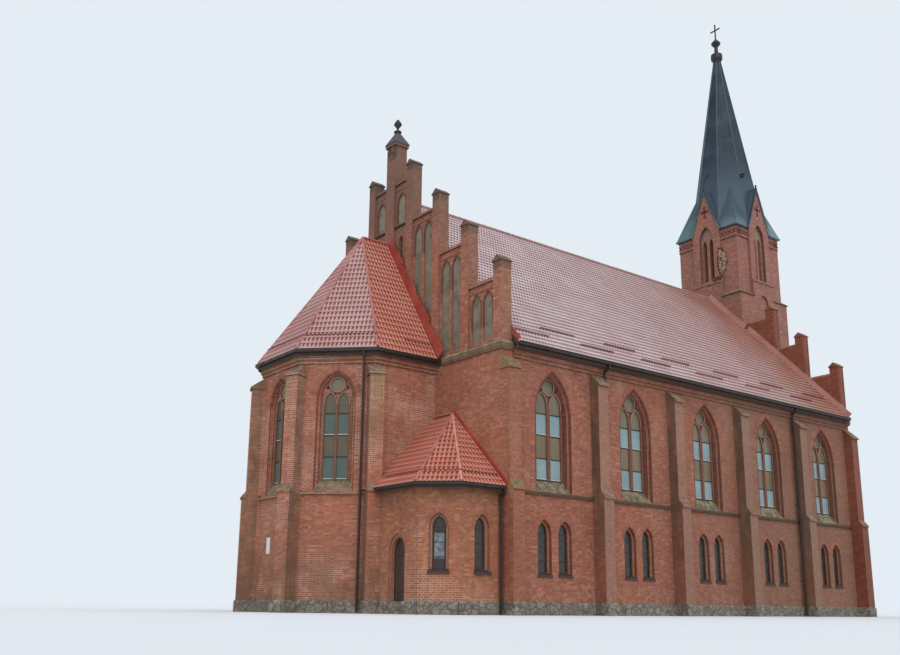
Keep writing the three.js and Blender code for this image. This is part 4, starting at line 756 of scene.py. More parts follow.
def small_window(wall, middle, foot, glass_tone, sill_out, low, head=None, frame=0.018):
    plane = -0.2
    spring, apex = SMALL_SPRING, 3.35
    if low:
        pane(small_panes, wall, box(middle - 0.24, foot, middle + 0.24, low), plane + 0.01, DARK)
    if head:
        pane(small_panes, wall, whole_arch(middle, 0.24, head, spring, apex), plane + 0.004, 0.4)
        rail(frames, wall, [(middle - 0.22, head), (middle + 0.22, head)], 0.03, plane, plane + 0.03, tone=0.4)
    pane(small_panes, wall, whole_arch(middle, 0.24, low or foot, spring, apex), plane, glass_tone)
    rail(frames, wall, whole_arch(middle, 0.24 - frame, foot, spring, apex - 0.02), frame,
         plane, plane + 0.03, tone=0.4)
    for height in (1.95, 2.45, 2.95):
        rail(frames, wall, [(middle - 0.22, height), (middle + 0.22, height)], 0.01, plane, plane + 0.018, tone=0.3)
    half = SMALL_HALF + 0.5 * sill_out
    top = 1.44 if low else 1.43
    outline = [(sill_out, top - 0.08), (sill_out, top), (plane - 0.02, foot + 0.03), (plane - 0.02, top - 0.08)]
    face = lambda u: [wall.at(middle + u, out, height) for out, height in outline]
    sills.solid(face(-half), face(half))


for wall, middle in nave_small:
    small_window(wall, middle, 1.52, 0.5, 0.035, None)
small_window(*annex_small[0], 1.55, 0.95, 0.07, 1.89, 2.81, 0.03)
small_window(*annex_small[1], 1.55, 0.5, 0.07, 1.72, None, 0.03)
for wall, middle in annex_small:
    rail(lime_rings, wall, whole_arch(middle, 0.29, 1.47, SMALL_SPRING, 3.41), 0.032, -0.134, -0.118)
rail(lime_rings, annex_front, whole_arch(5.4, 0.465, 0.5, 2.3, 2.84), 0.03, -0.1, -0.076)

lattice = Finish("lattice_glass", 0.25)
tone = lattice.own("tone")
u, z, _ = lattice.split(lattice.along_and_up())
lead_line = lattice.sum("MINIMUM", lattice.sum("PINGPONG", u + z, DIAMOND), lattice.sum("PINGPONG", u - z, DIAMOND))
cells = lattice.read("ShaderNodeTexVoronoi", {"Vector": lattice.place, "Scale": 8.0}, "Color")
lattice.colour = lattice.mix(cells, (42, 41, 34), (68, 63, 52))
lattice.tint(tone.rise(0.7, 0.8), lattice.mix(cells, (84, 92, 98), (146, 152, 156)))
lattice.tint(tone.rise(0.2, 0.15), (58, 44, 40))
lattice.tint(lead_line.rise(0.009, 0.005) * 0.8, (40, 38, 34))
small_panes.piece("lattice_panes", lattice.done(lead_line, 0.004, 0.4), "glass")
frames.piece("small_window_frames", Finish("frame_wood", 0.7).mottled(
    (14, 4, (1, 1, 0.2)), (38, 30, 25), (64, 50, 41), (40, 3), 0.002, 0.4), "timber")
sills.piece("small_window_sills", Finish("sill_tile", 0.55).mottled(
    (7, 5), (46, 34, 31), (76, 58, 51), (25, 4), 0.004, 0.5), "brick")
lime_rings.piece("lime_rings", rib_material, "brick")


# Roofs of pressed metal tile
# Red coated steel sheets pressed into waves and steps, screwed to battens on each slope.
# The nave sheets have faded to a greyish pink, and rust and soot have run down beside the west gable.
WAVE = 0.166
STEP = 0.312
CREST = 0.026
RISER = 0.02
LIP = 0.014
SHEET_UP = 0.006
EAVE = 10.0
RIDGE = 18.47
ROOF_EDGE = 8.05
GABLE_IN = EAST + 0.51
GABLE_WEST = EAST + 23.49


def tile_sheets(name, corners, material, low_shade, segments=6, trim=True):
    """Tile sheets over one slope. The first two corners are the ends of its eave, and the rest go round.
    The hollow attribute is the share of painted shade in the hollow of each wave, rising up the tile from low_shade to
    1 under the step above."""
    corners = [Vector(corner) for corner in corners]
    along = (corners[1] - corners[0]).normalized()
    out = along.cross(corners[2] - corners[0]).normalized()
    up = out.cross(along)
    flat = [((corner - corners[0]).dot(along), (corner - corners[0]).dot(up)) for corner in corners]
    low, high = min(u for u, _ in flat), max(u for u, _ in flat)
    top = max(v for _, v in flat)
    columns = max(2, round((high - low) / WAVE * segments))
    us = [low + (high - low) * i / columns for i in range(columns + 1)]
    rows = []
    for k in range(math.ceil(top / STEP)):
        share = min(1.0, (top - k * STEP) / STEP)
        rows.append((k * STEP, RISER, LIP, low_shade))
        rows.append(((k + share) * STEP, RISER * (1 - share), LIP if share == 1.0 else 0.0, 1.0))
    points, faces, hollows = [], [], []
    for v, lift, lip, shade in rows:
        for u in us:
            crest = 0.5 + 0.5 * math.cos(2 * math.pi * u / WAVE)
            points.append(corners[0] + u * along + (v - lip * crest) * up + (SHEET_UP + lift + CREST * crest) * out)
            hollows.append(shade * (1 - crest))
    width = columns + 1
    for r in range(len(rows) - 1):
        for c in range(columns):
            a = r * width + c
            faces.append((a, a + 1, a + 1 + width, a + width))
    mesh = bpy.data.meshes.new(name)
    mesh.from_pydata([tuple(point) for point in points], [], faces)
    mesh.attributes.new("hollow", "FLOAT", "POINT").data.foreach_set("value", hollows)
    if trim:
        shape = bmesh.new()
        shape.from_mesh(mesh)
        for corner, after in zip(corners[1:], corners[2:] + corners[:1]):
            normal = (after - corner).cross(out).normalized()
            geom = [*shape.verts, *shape.edges, *shape.faces]
            bmesh.ops.bisect_plane(shape, geom=geom, plane_co=corner, plane_no=normal, clear_outer=True)
        shape.to_mesh(mesh)
        shape.free()
    mesh.shade_smooth()
    mesh.set_sharp_from_angle(angle=math.radians(48))
    mesh.materials.append(material)
    made = bpy.data.objects.new(name, mesh)
    bpy.context.scene.collection.objects.link(made)
    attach(made, "church")


def sheet_finish(name, fresh, faded, shadow=(84, 44, 38), grime=0.3, rust_at=None, crest=None, deep=0.6):
    """Coated sheet that has faded in patches, with painted shade and some dirt in the hollows of its waves, and a
    painted highlight on the crests.
    """
    finish = Finish(name, 0.45, gloss=0.3)
    finish.colour = finish.mix(finish.noise(0.8, 5).rise(0.35, 0.7), fresh, faded)
    finish.tint(finish.noise(3.5, 6, (1, 1, 0.4)).rise(0.55, 0.8) * grime, (96, 58, 52))
    if rust_at is not None:
        finish.tint(finish.y.rise(EAST + 2, EAST + 21) * 0.8,
                    finish.mottle((156, 118, 111), (172, 136, 130), 0.9, 5))
        run = (finish.noise(0.35, 5) * 6.0 + finish.y).rise(rust_at - 3.5, rust_at + 2.0)
        finish.tint(run * 0.85, finish.mottle((124, 84, 70), (168, 110, 88), 1.3, 5))
    hollow = finish.own("hollow")
    # The crest colour is a painted highlight.
    if crest:
        finish.tint(hollow.rise(0.16, 0.02) * 0.7, crest)
    # The shadow colour is painted shade, with some dirt, in the hollows under each step.
    low = hollow.rise(0.08, deep)
    finish.tint(low * 0.92, shadow)
    finish.feed(low * -0.3 + 0.3, finish.shader.inputs["Specular IOR Level"])
    return finish.done((30, 3), 0.002, 0.3)


# Each shadow colour below is painted shade in the wave hollows, and each crest colour a painted highlight.
nave_sheet = sheet_finish("nave_tile", (185, 157, 156), (196, 175, 176), (62, 39, 37), 0.2, EAST + 23.4, deep=0.3)
red_sheet = sheet_finish("red_tile", (168, 93, 74), (180, 112, 96), (122, 59, 47), crest=(196, 138, 122))
apse_sheet = sheet_finish("apse_tile", (160, 112, 105), (175, 137, 133), (114, 68, 63), crest=(188, 155, 150))
boards = Finish("roof_boards", 0.85)
board_grain = boards.noise(9, 4, (1, 1, 0.3))
boards.colour = boards.mix(board_grain, (48, 36, 31), (82, 64, 54))
# Faces that slope upwards are roof red; the edges and undersides stay dark brown, partly painted shade under the
# eaves.
boards.tint(boards.tilt.rise(0.1, 0.3), (150, 84, 74))
boards.tint(boards.z.rise(18.2, 18.22), (128, 98, 95))
dress(["nave_roof", "apse_roof", "annex_roof"], boards.done(board_grain, 0.004, 0.5))

tile_sheets("nave_tiles_right", [(ROOF_EDGE, GABLE_IN, EAVE), (ROOF_EDGE, GABLE_WEST, EAVE),
                                 (0, GABLE_WEST, RIDGE), (0, GABLE_IN, RIDGE)], nave_sheet, -0.7, trim=False)
tile_sheets("nave_tiles_left", [(-ROOF_EDGE, GABLE_WEST, EAVE), (-ROOF_EDGE, GABLE_IN, EAVE),
                                (0, GABLE_IN, RIDGE), (0, GABLE_WEST, RIDGE)], nave_sheet, -0.7, trim=False)

EIGHTH = math.pi / 8
APSE_EDGE = 3.88
apse_reach = APSE_EDGE / math.cos(EIGHTH)
apse_eave = [Vector((apse_reach * math.cos(k * EIGHTH), APSE_MIDDLE + apse_reach * math.sin(k * EIGHTH), EAVE))
             for k in (-1, -3, -5, -7)]
APSE_RIDGE = 16.1
apse_apex = Vector((0, APSE_MIDDLE, APSE_RIDGE))
apse_ridge_end = Vector((0, EAST - 0.1, APSE_RIDGE))
tile_sheets("apse_tiles_right", [apse_eave[0], (APSE_EDGE, EAST - 0.1, EAVE), apse_ridge_end, apse_apex],
            red_sheet, 0.0)
for number in range(3):
    tile_sheets(f"apse_tiles_{number + 1}", [apse_eave[number + 1], apse_eave[number], apse_apex], apse_sheet, 0.0)
tile_sheets("apse_tiles_left", [(-APSE_EDGE, EAST - 0.1, EAVE), apse_eave[3], apse_apex, apse_ridge_end],
            apse_sheet, 0.0)

ANNEX_EAVE, ANNEX_RIDGE = 4.5, 7.61
ANNEX_APEX = Vector((4.81, EAST, ANNEX_RIDGE))
annex_cut = 0.25 * math.tan(EIGHTH)
annex_eave = [Vector((3.25, EAST - 3.2, ANNEX_EAVE)), Vector((6.7 + annex_cut, EAST - 3.2, ANNEX_EAVE)),
              Vector((7.95, EAST - 1.95 - annex_cut, ANNEX_EAVE)), Vector((7.95, EAST, ANNEX_EAVE))]
tile_sheets("annex_tiles_front", [annex_eave[0], annex_eave[1], ANNEX_APEX, (3.25, EAST, ANNEX_RIDGE)],
            red_sheet, 0.0)
tile_sheets("annex_tiles_corner", [annex_eave[1], annex_eave[2], ANNEX_APEX], red_sheet, 0.0)
tile_sheets("annex_tiles_side", [annex_eave[2], annex_eave[3], ANNEX_APEX], red_sheet, 0.0)


# Ridge and hip caps
# Half-round steel caps, each lapping the one below it, screwed over the ridges and hips.
# A narrow strip folds down over the edge of the sheets along each eave of the nave.
CAP_LONG = 0.38
CAP_SIDES = 8


def cap_row(stock, start, end, radius):
    start, end = Vector(start), Vector(end)
    axis = (end - start).normalized()
    side = axis.cross(UP).normalized()
    over = side.cross(axis)
    turns = [math.pi * j / CAP_SIDES for j in range(CAP_SIDES + 1)]
    ring = lambda at, r: [at + r * (math.cos(t) * side + math.sin(t) * over) for t in turns]
    count = max(1, round((end - start).length / CAP_LONG))
    for i in range(count):
        a, b = start.lerp(end, i / count), start.lerp(end, (i + 1.12) / count if i + 1 < count else 1)
        stock.solid(ring(a, radius * 1.1), ring(b, radius * 0.95), 0.4 + 0.2 * (i % 2))


caps, highlit_caps, nave_caps = Stock(11), Stock(31), Stock(37)
cap_row(nave_caps, (0, GABLE_IN + 0.02, RIDGE - 0.01), (0, GABLE_WEST - 0.02, RIDGE - 0.01), 0.1)
for corner in apse_eave:
    cap_row(caps, corner + 0.04 * UP, apse_apex + 0.01 * UP, 0.06)
cap_row(caps, apse_ridge_end, apse_apex, 0.08)
# The caps on the sacristy's right hip are paler, a painted highlight.
for stock, corner, radius in ((caps, annex_eave[1], 0.055), (highlit_caps, annex_eave[2], 0.045)):
    cap_row(stock, corner + 0.04 * UP, ANNEX_APEX + Vector((0, -0.03, 0.01)), radius)
cap_row(caps, (3.7, EAST - 0.06, ANNEX_RIDGE), (4.81, EAST - 0.06, ANNEX_RIDGE), 0.07)
# The pale cap colours are a painted highlight on the sacristy's right hip.
for stock, name, sheet, fresh, faded in (
        (caps, "roof_caps", "cap_sheet", (158, 92, 84), (172, 116, 108)),
        (highlit_caps, "sacristy_highlit_hip_caps", "highlit_cap_sheet", (196, 130, 118), (212, 158, 148)),
        (nave_caps, "nave_ridge_caps", "ridge_sheet", (164, 122, 118), (180, 144, 140))):
    stock.piece(name, sheet_finish(sheet, fresh, faded), "roof_sheet", smooth=40)

edges = Stock(32)
for x in (ROOF_EDGE + 0.012, -ROOF_EDGE - 0.012):
    edges.bar((x, GABLE_IN, EAVE + 0.012), (x, GABLE_WEST, EAVE + 0.012), 0.022 * UP, Vector((0.006, 0, 0)), 0.5)
edges.piece("eave_strips", sheet_finish("strip_sheet", (176, 146, 144), (198, 174, 174)), "roof_sheet")


# Snow guards
# Red steel strips on brackets above the eaves: short staggered ones on the nave, whole rows on the apse and
# the sacristy.
guards = Stock(12)


def guard(start, end, out, tall, post):
    """A strip between two points of the slope, on a bracket over each crest of the tiles."""
    start, end = Vector(start), Vector(end)
    run = (end - start).normalized()
    guards.bar(start + 0.85 * tall * out, end + 0.85 * tall * out, 0.09 * tall * out, 0.003 * run.cross(out), 0.3)
    count = max(2, round((end - start).length / WAVE))
    for i in range(count + 1):
        at = start.lerp(end, i / count)
        guards.bar(at, at + tall * out, post * run, 0.006 * run.cross(out), 0.2)


slope = Vector((-ROOF_EDGE, 0, RIDGE - EAVE)).normalized()
slope_out = Vector((slope.z, 0, -slope.x))
for side in (1, -1):
    mirror = Vector((side, 1, 1))
    for number in range(12):
        rise = 0.80 if number % 2 == 0 else 1.42
        y = EAST + 0.72 + 1.84 * number
        foot = Vector((ROOF_EDGE, 0, EAVE)) + rise * slope
        start, end = Vector((foot.x, y, foot.z)), Vector((foot.x, y + 1.82, foot.z))
        guard(start * mirror, end * mirror, slope_out * mirror, 0.14, 0.036)


def guard_row(left, right, apex, share):
    left, right, apex = Vector(left), Vector(right), Vector(apex)
    out = (right - left).cross(apex - left).normalized()
    guard(left.lerp(apex, share), right.lerp(apex, share), out, 0.11, 0.034)


for number in range(3):
    guard_row(apse_eave[number + 1], apse_eave[number], apse_apex, 0.1)
for side in (1, -1):
    guard((side * 3.5, EAST - 0.15, 10.6), (side * 3.5, EAST - 1.45, 10.6), Vector((side * 0.84, 0, 0.54)),
          0.11, 0.034)
guard_row(annex_eave[1], annex_eave[2], ANNEX_APEX, 0.13)
guard_row((4.4, EAST - 3.2, ANNEX_EAVE), annex_eave[1], ANNEX_APEX, 0.13)
guard_row(annex_eave[2], (7.95, EAST - 0.2, ANNEX_EAVE), ANNEX_APEX, 0.13)
# The guards are a darker red than the sheets, partly painted shade on their faces seen from below.
guards.piece("snow_guards", sheet_finish("guard_sheet", (112, 62, 54), (126, 76, 66)), "roof_sheet")


# Flashings
# Folded red sheet against the gables, the tower and the apse, held in the brickwork above it.
# The strips at the west end have faded like the nave's sheets.
flashings, pale_flashings = Stock(13), Stock(33)


def flashing(stock, line, out, tall=0.3, thick=0.014, steps=0.0):
    """A strip that stands on a line and lies against the wall that out points away from, with a raised fold."""
    for start, end in zip(line, line[1:]):
        start, end = Vector(start), Vector(end)
        run = (end - start).normalized()
        across = Vector(out).cross(run).normalized()
        across = across if across.z > 0 else -across
        count = max(1, round((end - start).length / 0.9))
        for i in range(count):
            a, b = start.lerp(end, i / count), start.lerp(end, (i + 1) / count)
            wider = tall + (steps if i % 2 else 0.0)
            face = lambda o: [a + o, b + o, b + o + wider * across, a + o + wider * across]
            stock.solid(face(Vector((0, 0, 0))), face(thick * Vector(out)), 0.5 + 0.1 * (i % 2))
            stock.bar(a + wider * across, b + wider * across, 0.012 * across, 1.6 * thick * Vector(out), 0.4)


east_out = Vector((0, -1, 0))
for side in (1, -1):
    flashing(flashings, [apse_ridge_end, (side * 3.9, EAST - 0.1, 10.05)], east_out, 0.34, 0.02, 0.07)
    flashing(flashings, [(0, GABLE_IN, RIDGE), (side * (ROOF_EDGE + 0.02), GABLE_IN, EAVE)], -east_out, 0.18)
    flashing(pale_flashings, [(side * 2.3, GABLE_WEST, RIDGE - 2.42), (side * ROOF_EDGE, GABLE_WEST, EAVE)],
             east_out, 0.28)
    flashing(pale_flashings, [(0, EAST + 23.19, RIDGE), (side * 2.3, EAST + 23.19, RIDGE - 2.42)],
             east_out, 0.28, 0.03)
flashing(flashings, [ANNEX_APEX, annex_eave[3]], east_out, 0.17, 0.02)
flashings.piece("flashings", sheet_finish("flashing_sheet", (154, 64, 53), (174, 86, 72)), "roof_sheet")
pale_flashings.piece("west_flashings", sheet_finish("pale_flashing", (180, 126, 114), (196, 146, 134)), "roof_sheet")


# Gutters and downpipes
# Dark coated steel gutters on strap brackets with a boxed eave behind them, and pipes held by clamps.
# The brackets are screwed to the eave boards, and the clamps are driven into the joints of the brickwork.
gutter_material = Finish("gutter_coat", 0.5, 0.3).mottled((2.5, 6), (34, 29, 26), (64, 54, 46), (25, 3), 0.002, 0.4)
dress(["nave_gutter_right", "nave_gutter_left", "apse_gutter", "annex_gutter"], gutter_material)
straps, eave_boards = Stock(14), Stock(34)
CORNICE_AT = NAVE_HALF + 0.12


def strap(edge, out, deep, reach):
    edge, out = Vector(edge), Vector(out)
    along = out.cross(UP)
    front = edge + (reach + 0.004) * out
    straps.bar(front, front - (deep + 0.004) * UP, 0.016 * along, 0.003 * out)
    straps.bar(front - (deep + 0.004) * UP, edge - (deep + 0.004) * UP - 0.05 * out, 0.016 * along, 0.003 * UP)


def clamp(at, out):
    at, out = Vector(at), Vector(out)
    straps.tube(at - 0.02 * UP, at + 0.02 * UP, 0.062, 10)
    straps.bar(at, at - out * 0.19, 0.012 * out.cross(UP), 0.012 * UP)


for side in (1, -1):
    for number in range(38):
        strap((side * 8.05, EAST + 0.8 + 0.6 * number, 9.98), (side, 0, 0), 0.15, 0.15)
    straps.tube((side * 8.205, GABLE_IN + 0.01, 9.985), (side * 8.205, GABLE_WEST - 0.01, 9.985), 0.014, 8)
    for bay, past in ((0, 0.41), (3, -0.41)):
        for height in (1.6, 3.4, 5.2, 7.0, 8.8):
            clamp((side * 7.89, EAST + 0.28 + BAY * (bay + 1) + past, height), (side, 0, 0))
    profile = [(CORNICE_AT, 9.82), (CORNICE_AT, 9.72), (CORNICE_AT + 0.05, 9.72), (8.075, 9.77), (8.075, 9.84),
               (8.054, 9.84), (8.054, 9.82)]
    face = lambda y: [Vector((side * x, y, z)) for x, z in profile]
    eave_boards.solid(face(GABLE_IN), face(GABLE_WEST), 0.5)
for start, end in zip(apse_eave, apse_eave[1:]):
    run = (end - start).normalized()
    out = run.cross(UP)
    out = out if out.dot(start + end - 2 * Vector((0, APSE_MIDDLE, EAVE))) > 0 else -out
    for number in range(1, 5):
        strap(start.lerp(end, number / 5) - 0.02 * UP, out, 0.12, 0.13)
for start, end in zip(annex_eave[:-1], annex_eave[1:]):
    run = (end - start).normalized()
    out = run.cross(UP)
    number = max(1, round((end - start).length / 0.6))
    for i in range(number):
        strap(start.lerp(end, (i + 0.5) / number) - 0.02 * UP, out, 0.11, 0.12)
straps.piece("gutter_straps", gutter_material, "gutter_metal")
# The eave boards are dark brown, partly painted shade under the eaves.
eave_boards.piece("eave_boards", Finish("eave_board", 0.85).mottled(
    (7, 4, (1, 0.1, 1)), (66, 48, 41), (92, 68, 57), (20, 3), 0.003, 0.4), "timber")


# Gable strings and small openings
# Thin courses of moulded brick under the copings, a dark one under the middle niches, and two holes left open, filled
# with painted shade.
# The niches are lined with lime plaster, with a ring of moulded brick round the head of each.
strings, dark_strings = Stock(25), Stock(26)
panel_face = Wall(0, EAST + 0.1, -math.pi / 2)
inner = 0.325
for at, coping_level in ((1.5, 18.98), (3.48, 16.85), (5.45, 14.66), (7.46, 12.63)):
    for side in (1, -1):
        strings.strip(panel_face, side * inner, side * (at - 0.24), coping_level - 0.36, 0, 0.028, 0.03, 0.4)
        if inner < 1:
            dark_strings.strip(panel_face, side * inner, side * (at - 0.24), 16.82, 0, 0.035, 0.06, 0.2)
    inner = at + 0.24
# Dark slabs in the two holes are painted shade.
for x, z, wide, tall, out in ((1.19, 15.79, 0.055, 0.05, 0.003), (3.99, 13.26, 0.08, 0.31, -0.145)):
    dark_strings.slab(panel_face, box(x - wide, z - tall, x + wide, z + tall), out - 0.02, out, 0.1)
plasters, niche_rings = Stock(39), Stock(40)
niche_wall = Wall(0, EAST, -math.pi / 2)
for at, half, foot, spring, apex in (
        (2.14, 0.27, 13.36, 15.92, 16.40), (2.84, 0.27, 12.26, 15.92, 16.40), (4.115, 0.27, 10.26, 13.73, 14.21),
        (4.815, 0.27, 10.25, 13.73, 14.21), (6.105, 0.27, 10.25, 11.70, 12.18), (6.805, 0.27, 10.25, 11.70, 12.18),
        (0.7925, 0.30, 16.83, 17.92, 18.40)):
    for side in (1, -1):
        outline = whole_arch(side * at, half + 0.01, foot, spring, apex + 0.01)
        plasters.slab(niche_wall, outline, -0.24, -0.16, 0.5)
        rail(niche_rings, niche_wall, whole_arch(side * at, half + 0.02, spring - 0.9, spring, apex + 0.03), 0.026,
             -0.13, -0.09)
plaster_coat = Finish("niche_plaster", 0.9)
plaster_coat.colour = plaster_coat.shades(plaster_coat.noise(3.0, 6), (
    (0.3, (100, 90, 74)), (0.5, (120, 109, 92)), (0.75, (136, 124, 105))))
plasters.piece("niche_plaster", plaster_coat.done((14, 4), 0.003, 0.4), "stone")
niche_rings.piece("niche_rings", shadow_line_and_ring_material, "brick")
strings.piece("gable_strings", ring_finish.material, "brick")
dark_strings.piece("gable_dark_strings", shade_material, "stone")


# Spire
# Eight sheet metal faces with a roll on each arris, broaches at the corners and a gablet over each bay.
# The sheet has gone dark slate, and green where water lingers on the side broaches.
spire = Finish("spire_sheet", 0.55, gloss=0.25)
sheets, seams = spire.laid(spire.along_and_up(), 0.7, 1.05, 0.006, ((0, 0, 0), (255, 255, 255), (0, 0, 0)))
spire.colour = spire.shades(sheets, ((0.0, (30, 42, 53)), (1.0, (38, 52, 63))))
spire.tint(spire.z.rise(28.5, 24.5) * 0.7, (76, 93, 104))
spire.tint(spire.noise(0.9, 5).rise(0.45, 0.75) * 0.6, (62, 78, 88))
# Pale patches round the foot of the spire are painted highlights.
spire.tint(spire.z.rise(23.6, 22.9) * 0.6, (104, 120, 122))
mottle = spire.noise(2.0, 5)
green = spire.mix(spire.x.rise(0.3, 1.0), spire.mix(mottle, (66, 96, 96), (92, 124, 122)),
                  spire.mix(mottle, (92, 108, 114), (122, 140, 146)))
wet = (spire.y - TOWER_Y - spire.x).rise(-2.6, -1.2) * spire.z.rise(24.6, 23.4) * spire.noise(0.7, 4).rise(0.2, 0.5)
spire.tint(wet * 0.85, green)
spire.tint(spire.noise(3.0, 5, (1, 1, 0.15)).rise(0.55, 0.75) * 0.35, (32, 41, 49))
dress(["spire"], spire.done(spire.noise(5, 3) * 0.3 + seams, 0.012, 0.5))

rolls = Stock(15)
SPIRE_FOOT, SPIRE_HALF, ROLL_FOOT = 22.67, 2.17, 25.6
SPIRE_LEAN = 1.95 / (35.2 - SPIRE_FOOT)
for k in range(8):
    angle = EIGHTH + k * math.pi / 4
    arris = lambda height, reach: Vector((reach / math.cos(EIGHTH) * math.cos(angle),
                                          TOWER_Y + reach / math.cos(EIGHTH) * math.sin(angle), height))
    rolls.tube(arris(ROLL_FOOT, SPIRE_HALF - SPIRE_LEAN * (ROLL_FOOT - SPIRE_FOOT)), arris(35.18, 0.222), 0.03, 6)
rolls.piece("spire_rolls", Finish("roll_sheet", 0.5, 0.1).mottled(
    (3, 4), (50, 65, 73), (74, 91, 98), (20, 3), 0.002, 0.3), "spire_sheet", smooth=60)
dress(["spire_finial"], Finish("finial_metal", 0.5, 0.4).mottled(
    (4, 4), (30, 30, 40), (62, 60, 72), (20, 3), 0.004, 0.4))

verges, fittings = Stock(16), Stock(35)
BELFRY_HALF = 2.09
tower_sides = [Wall(BELFRY_HALF * math.cos(angle), TOWER_Y + BELFRY_HALF * math.sin(angle), angle)
               for angle in (0, math.pi / 2, math.pi, -math.pi / 2)]
for wall in tower_sides:
    for side in (-1, 1):
        rail(verges, wall, [(side * 1.135, 22.66), (0, 25.585)], 0.024, 0.12, 0.19, tone=0.3)
    if wall.out.y > -0.5:
        fittings.tube(wall.at(0, 0.15, 25.45), wall.at(0, 0.15, 25.72), 0.035, 8, flare=1.8)
hook = ((0.04, 12.2, 25.45), (0.04, 12.25, 25.9), (0.11, 12.32, 26.24), (0.24, 12.38, 26.44), (0.4, 12.42, 26.47))
for start, end in zip(hook, hook[1:]):
    fittings.tube(start, end, 0.045, 8)
fittings.bar((1.5, 13.95, 26.4), (1.79, 13.95, 26.43), Vector((0, 0.09, 0)), Vector((0, 0, 0.07)))
fittings.bar((1.5, 13.95, 26.5), (1.85, 13.95, 26.49), Vector((0, 0.11, 0)), 0.01 * UP)
verges.piece("gablet_verges", gutter_material, "spire_sheet")
fittings.piece("spire_fittings", iron_material, "iron", smooth=60)


# Belfry frieze and crosses
# A band of dark moulded lozenges between two courses under the eaves at each corner, and a painted cross
# with flared arms in each gablet.
frieze, crosses = Stock(17), Stock(36)
for wall in tower_sides:
    for side in (-1, 1):
        for height in (21.99, 22.6):
            frieze.strip(wall, side, side * BELFRY_HALF, height, 0.045, 0.025, 0.012, 0.3)
        for number in range(4):
            centre = side * (1.15 + 0.27 * number)
            for slant in (-1, 1):
                rail(frieze, wall, [(centre - 0.12, 22.3 - slant * 0.14), (centre + 0.12, 22.3 + slant * 0.14)],
                     0.03, 0.03, 0.062, tone=0.1)
    for x, z, reach in ((1, 0, 0.29), (-1, 0, 0.29), (0, 1, 0.36), (0, -1, 0.43)):
        corners = [(x * far - z * half, 24.09 + z * far + x * half)
                   for far, half in ((0, -0.055), (reach, -0.11), (reach, 0.11), (0, 0.055))]
        crosses.slab(wall, corners, 0.06, 0.135, 0.4)
frieze.piece("frieze_lozenges", Finish("frieze_brick", 0.85).mottled(
    (8, 4), (92, 50, 46), (122, 72, 64), (40, 3), 0.003, 0.4), "brick")
crosses.piece("belfry_crosses", Finish("cross_paint", 0.75).mottled(
    (9, 4), (84, 30, 28), (112, 48, 42), (30, 3), 0.003, 0.4), "brick")


# Broken corner of the belfry bay
# The bricks have fallen from the right edge of the east bay and the end of its sill, and left pale mortar
# and rubble bare.
rubble = Stock(27)
pick = random.Random(28)


def lump(x, y, z, size, tone):
    reach = [pick.uniform(0.7, 1.25) * size for _ in range(6)]
    ring = lambda out, share: [Vector((x + share * reach[i] * math.cos(i * math.pi / 3), y - out,
                                       z + share * reach[i] * math.sin(i * math.pi / 3))) for i in range(6)]
    rubble.solid(ring(-0.02, 1.0), ring(0.45 * size, 0.62), tone)


levels = [19.66 + 0.15 * step for step in range(13)]
reaches = [0.9 + 0.5 * math.sin(math.pi * (z - 19.5) / 2.1) * pick.uniform(0.7, 1.1) for z in levels]
starts = [0.93 - 0.18 * math.sin(math.pi * (z - 19.6) / 1.95) * pick.uniform(0.7, 1.1) for z in levels]
for y, lefts, rights in ((12.245, starts, [0.975] * 13),
                         (12.375, [0.95] * 13, [max(reach, 1.0) for reach in reaches])):
    outline = [*zip(lefts, levels), *zip(reversed(rights), reversed(levels))]
    rubble.solid([Vector((x, y + 0.02, z)) for x, z in outline], [Vector((x, y - 0.012, z)) for x, z in outline], 0.42)
for number in range(400):
    step = pick.randrange(12)
    z = levels[step] + pick.uniform(0, 0.15)
    x = pick.uniform(starts[step] - 0.02, max(reaches[step], 1.0) + 0.02)
    core = abs(z - 20.55) < 0.75 and starts[step] + 0.08 < x < reaches[step] - 0.05
    lump(x, 12.235 if x < 0.97 else 12.365, z, pick.uniform(0.03, 0.065),
         pick.uniform(0.5, 0.95) if core and pick.random() < 0.85 else pick.uniform(0.05, 0.42))
for number in range(70):
    x = pick.uniform(0.42, 0.98)
    lump(x, 12.19, pick.uniform(19.28, 19.66) + 0.12 * (x - 0.42), pick.uniform(0.035, 0.07), pick.uniform(0.0, 0.45))
rubble_finish = Finish("rubble", 0.95)
rubble_finish.colour = rubble_finish.shades(rubble_finish.own("tone"), (
    (0.0, (66, 44, 38)), (0.35, (104, 70, 58)), (0.5, (146, 118, 98)), (1.0, (198, 178, 148))))
rubble.piece("broken_bay_edge", rubble_finish.done((30, 4), 0.01, 0.6), "brick")


# Enamel plate on the apse
# A small bare white plate of enamelled steel with a raised middle, screwed to the wall below the end window.
plate = Stock(29)
apse_end = Wall(0, APSE_MIDDLE - APSE_IN, -math.pi / 2)
for grow, out in ((0.0, 0.012), (-0.02, 0.016)):
    plate.slab(apse_end, box(-0.47 - grow, 2.19 - grow, -0.18 + grow, 2.82 + grow), 0, out, 0.5)
plate.piece("apse_plate", Finish("plate_enamel", 0.3).mottled(
    (6, 4), (196, 196, 190), (222, 222, 218), (12, 3), 0.001, 0.3), "iron")


# Doors
# Oiled boards. The sacristy door hangs on two strap hinges inside and has two straps, a knob and a ring
# outside, and the west door has two leaves with long straps.
LEAF_FRONT, LEAF_BACK = ANNEX_FACE + 0.228, ANNEX_FACE + 0.288


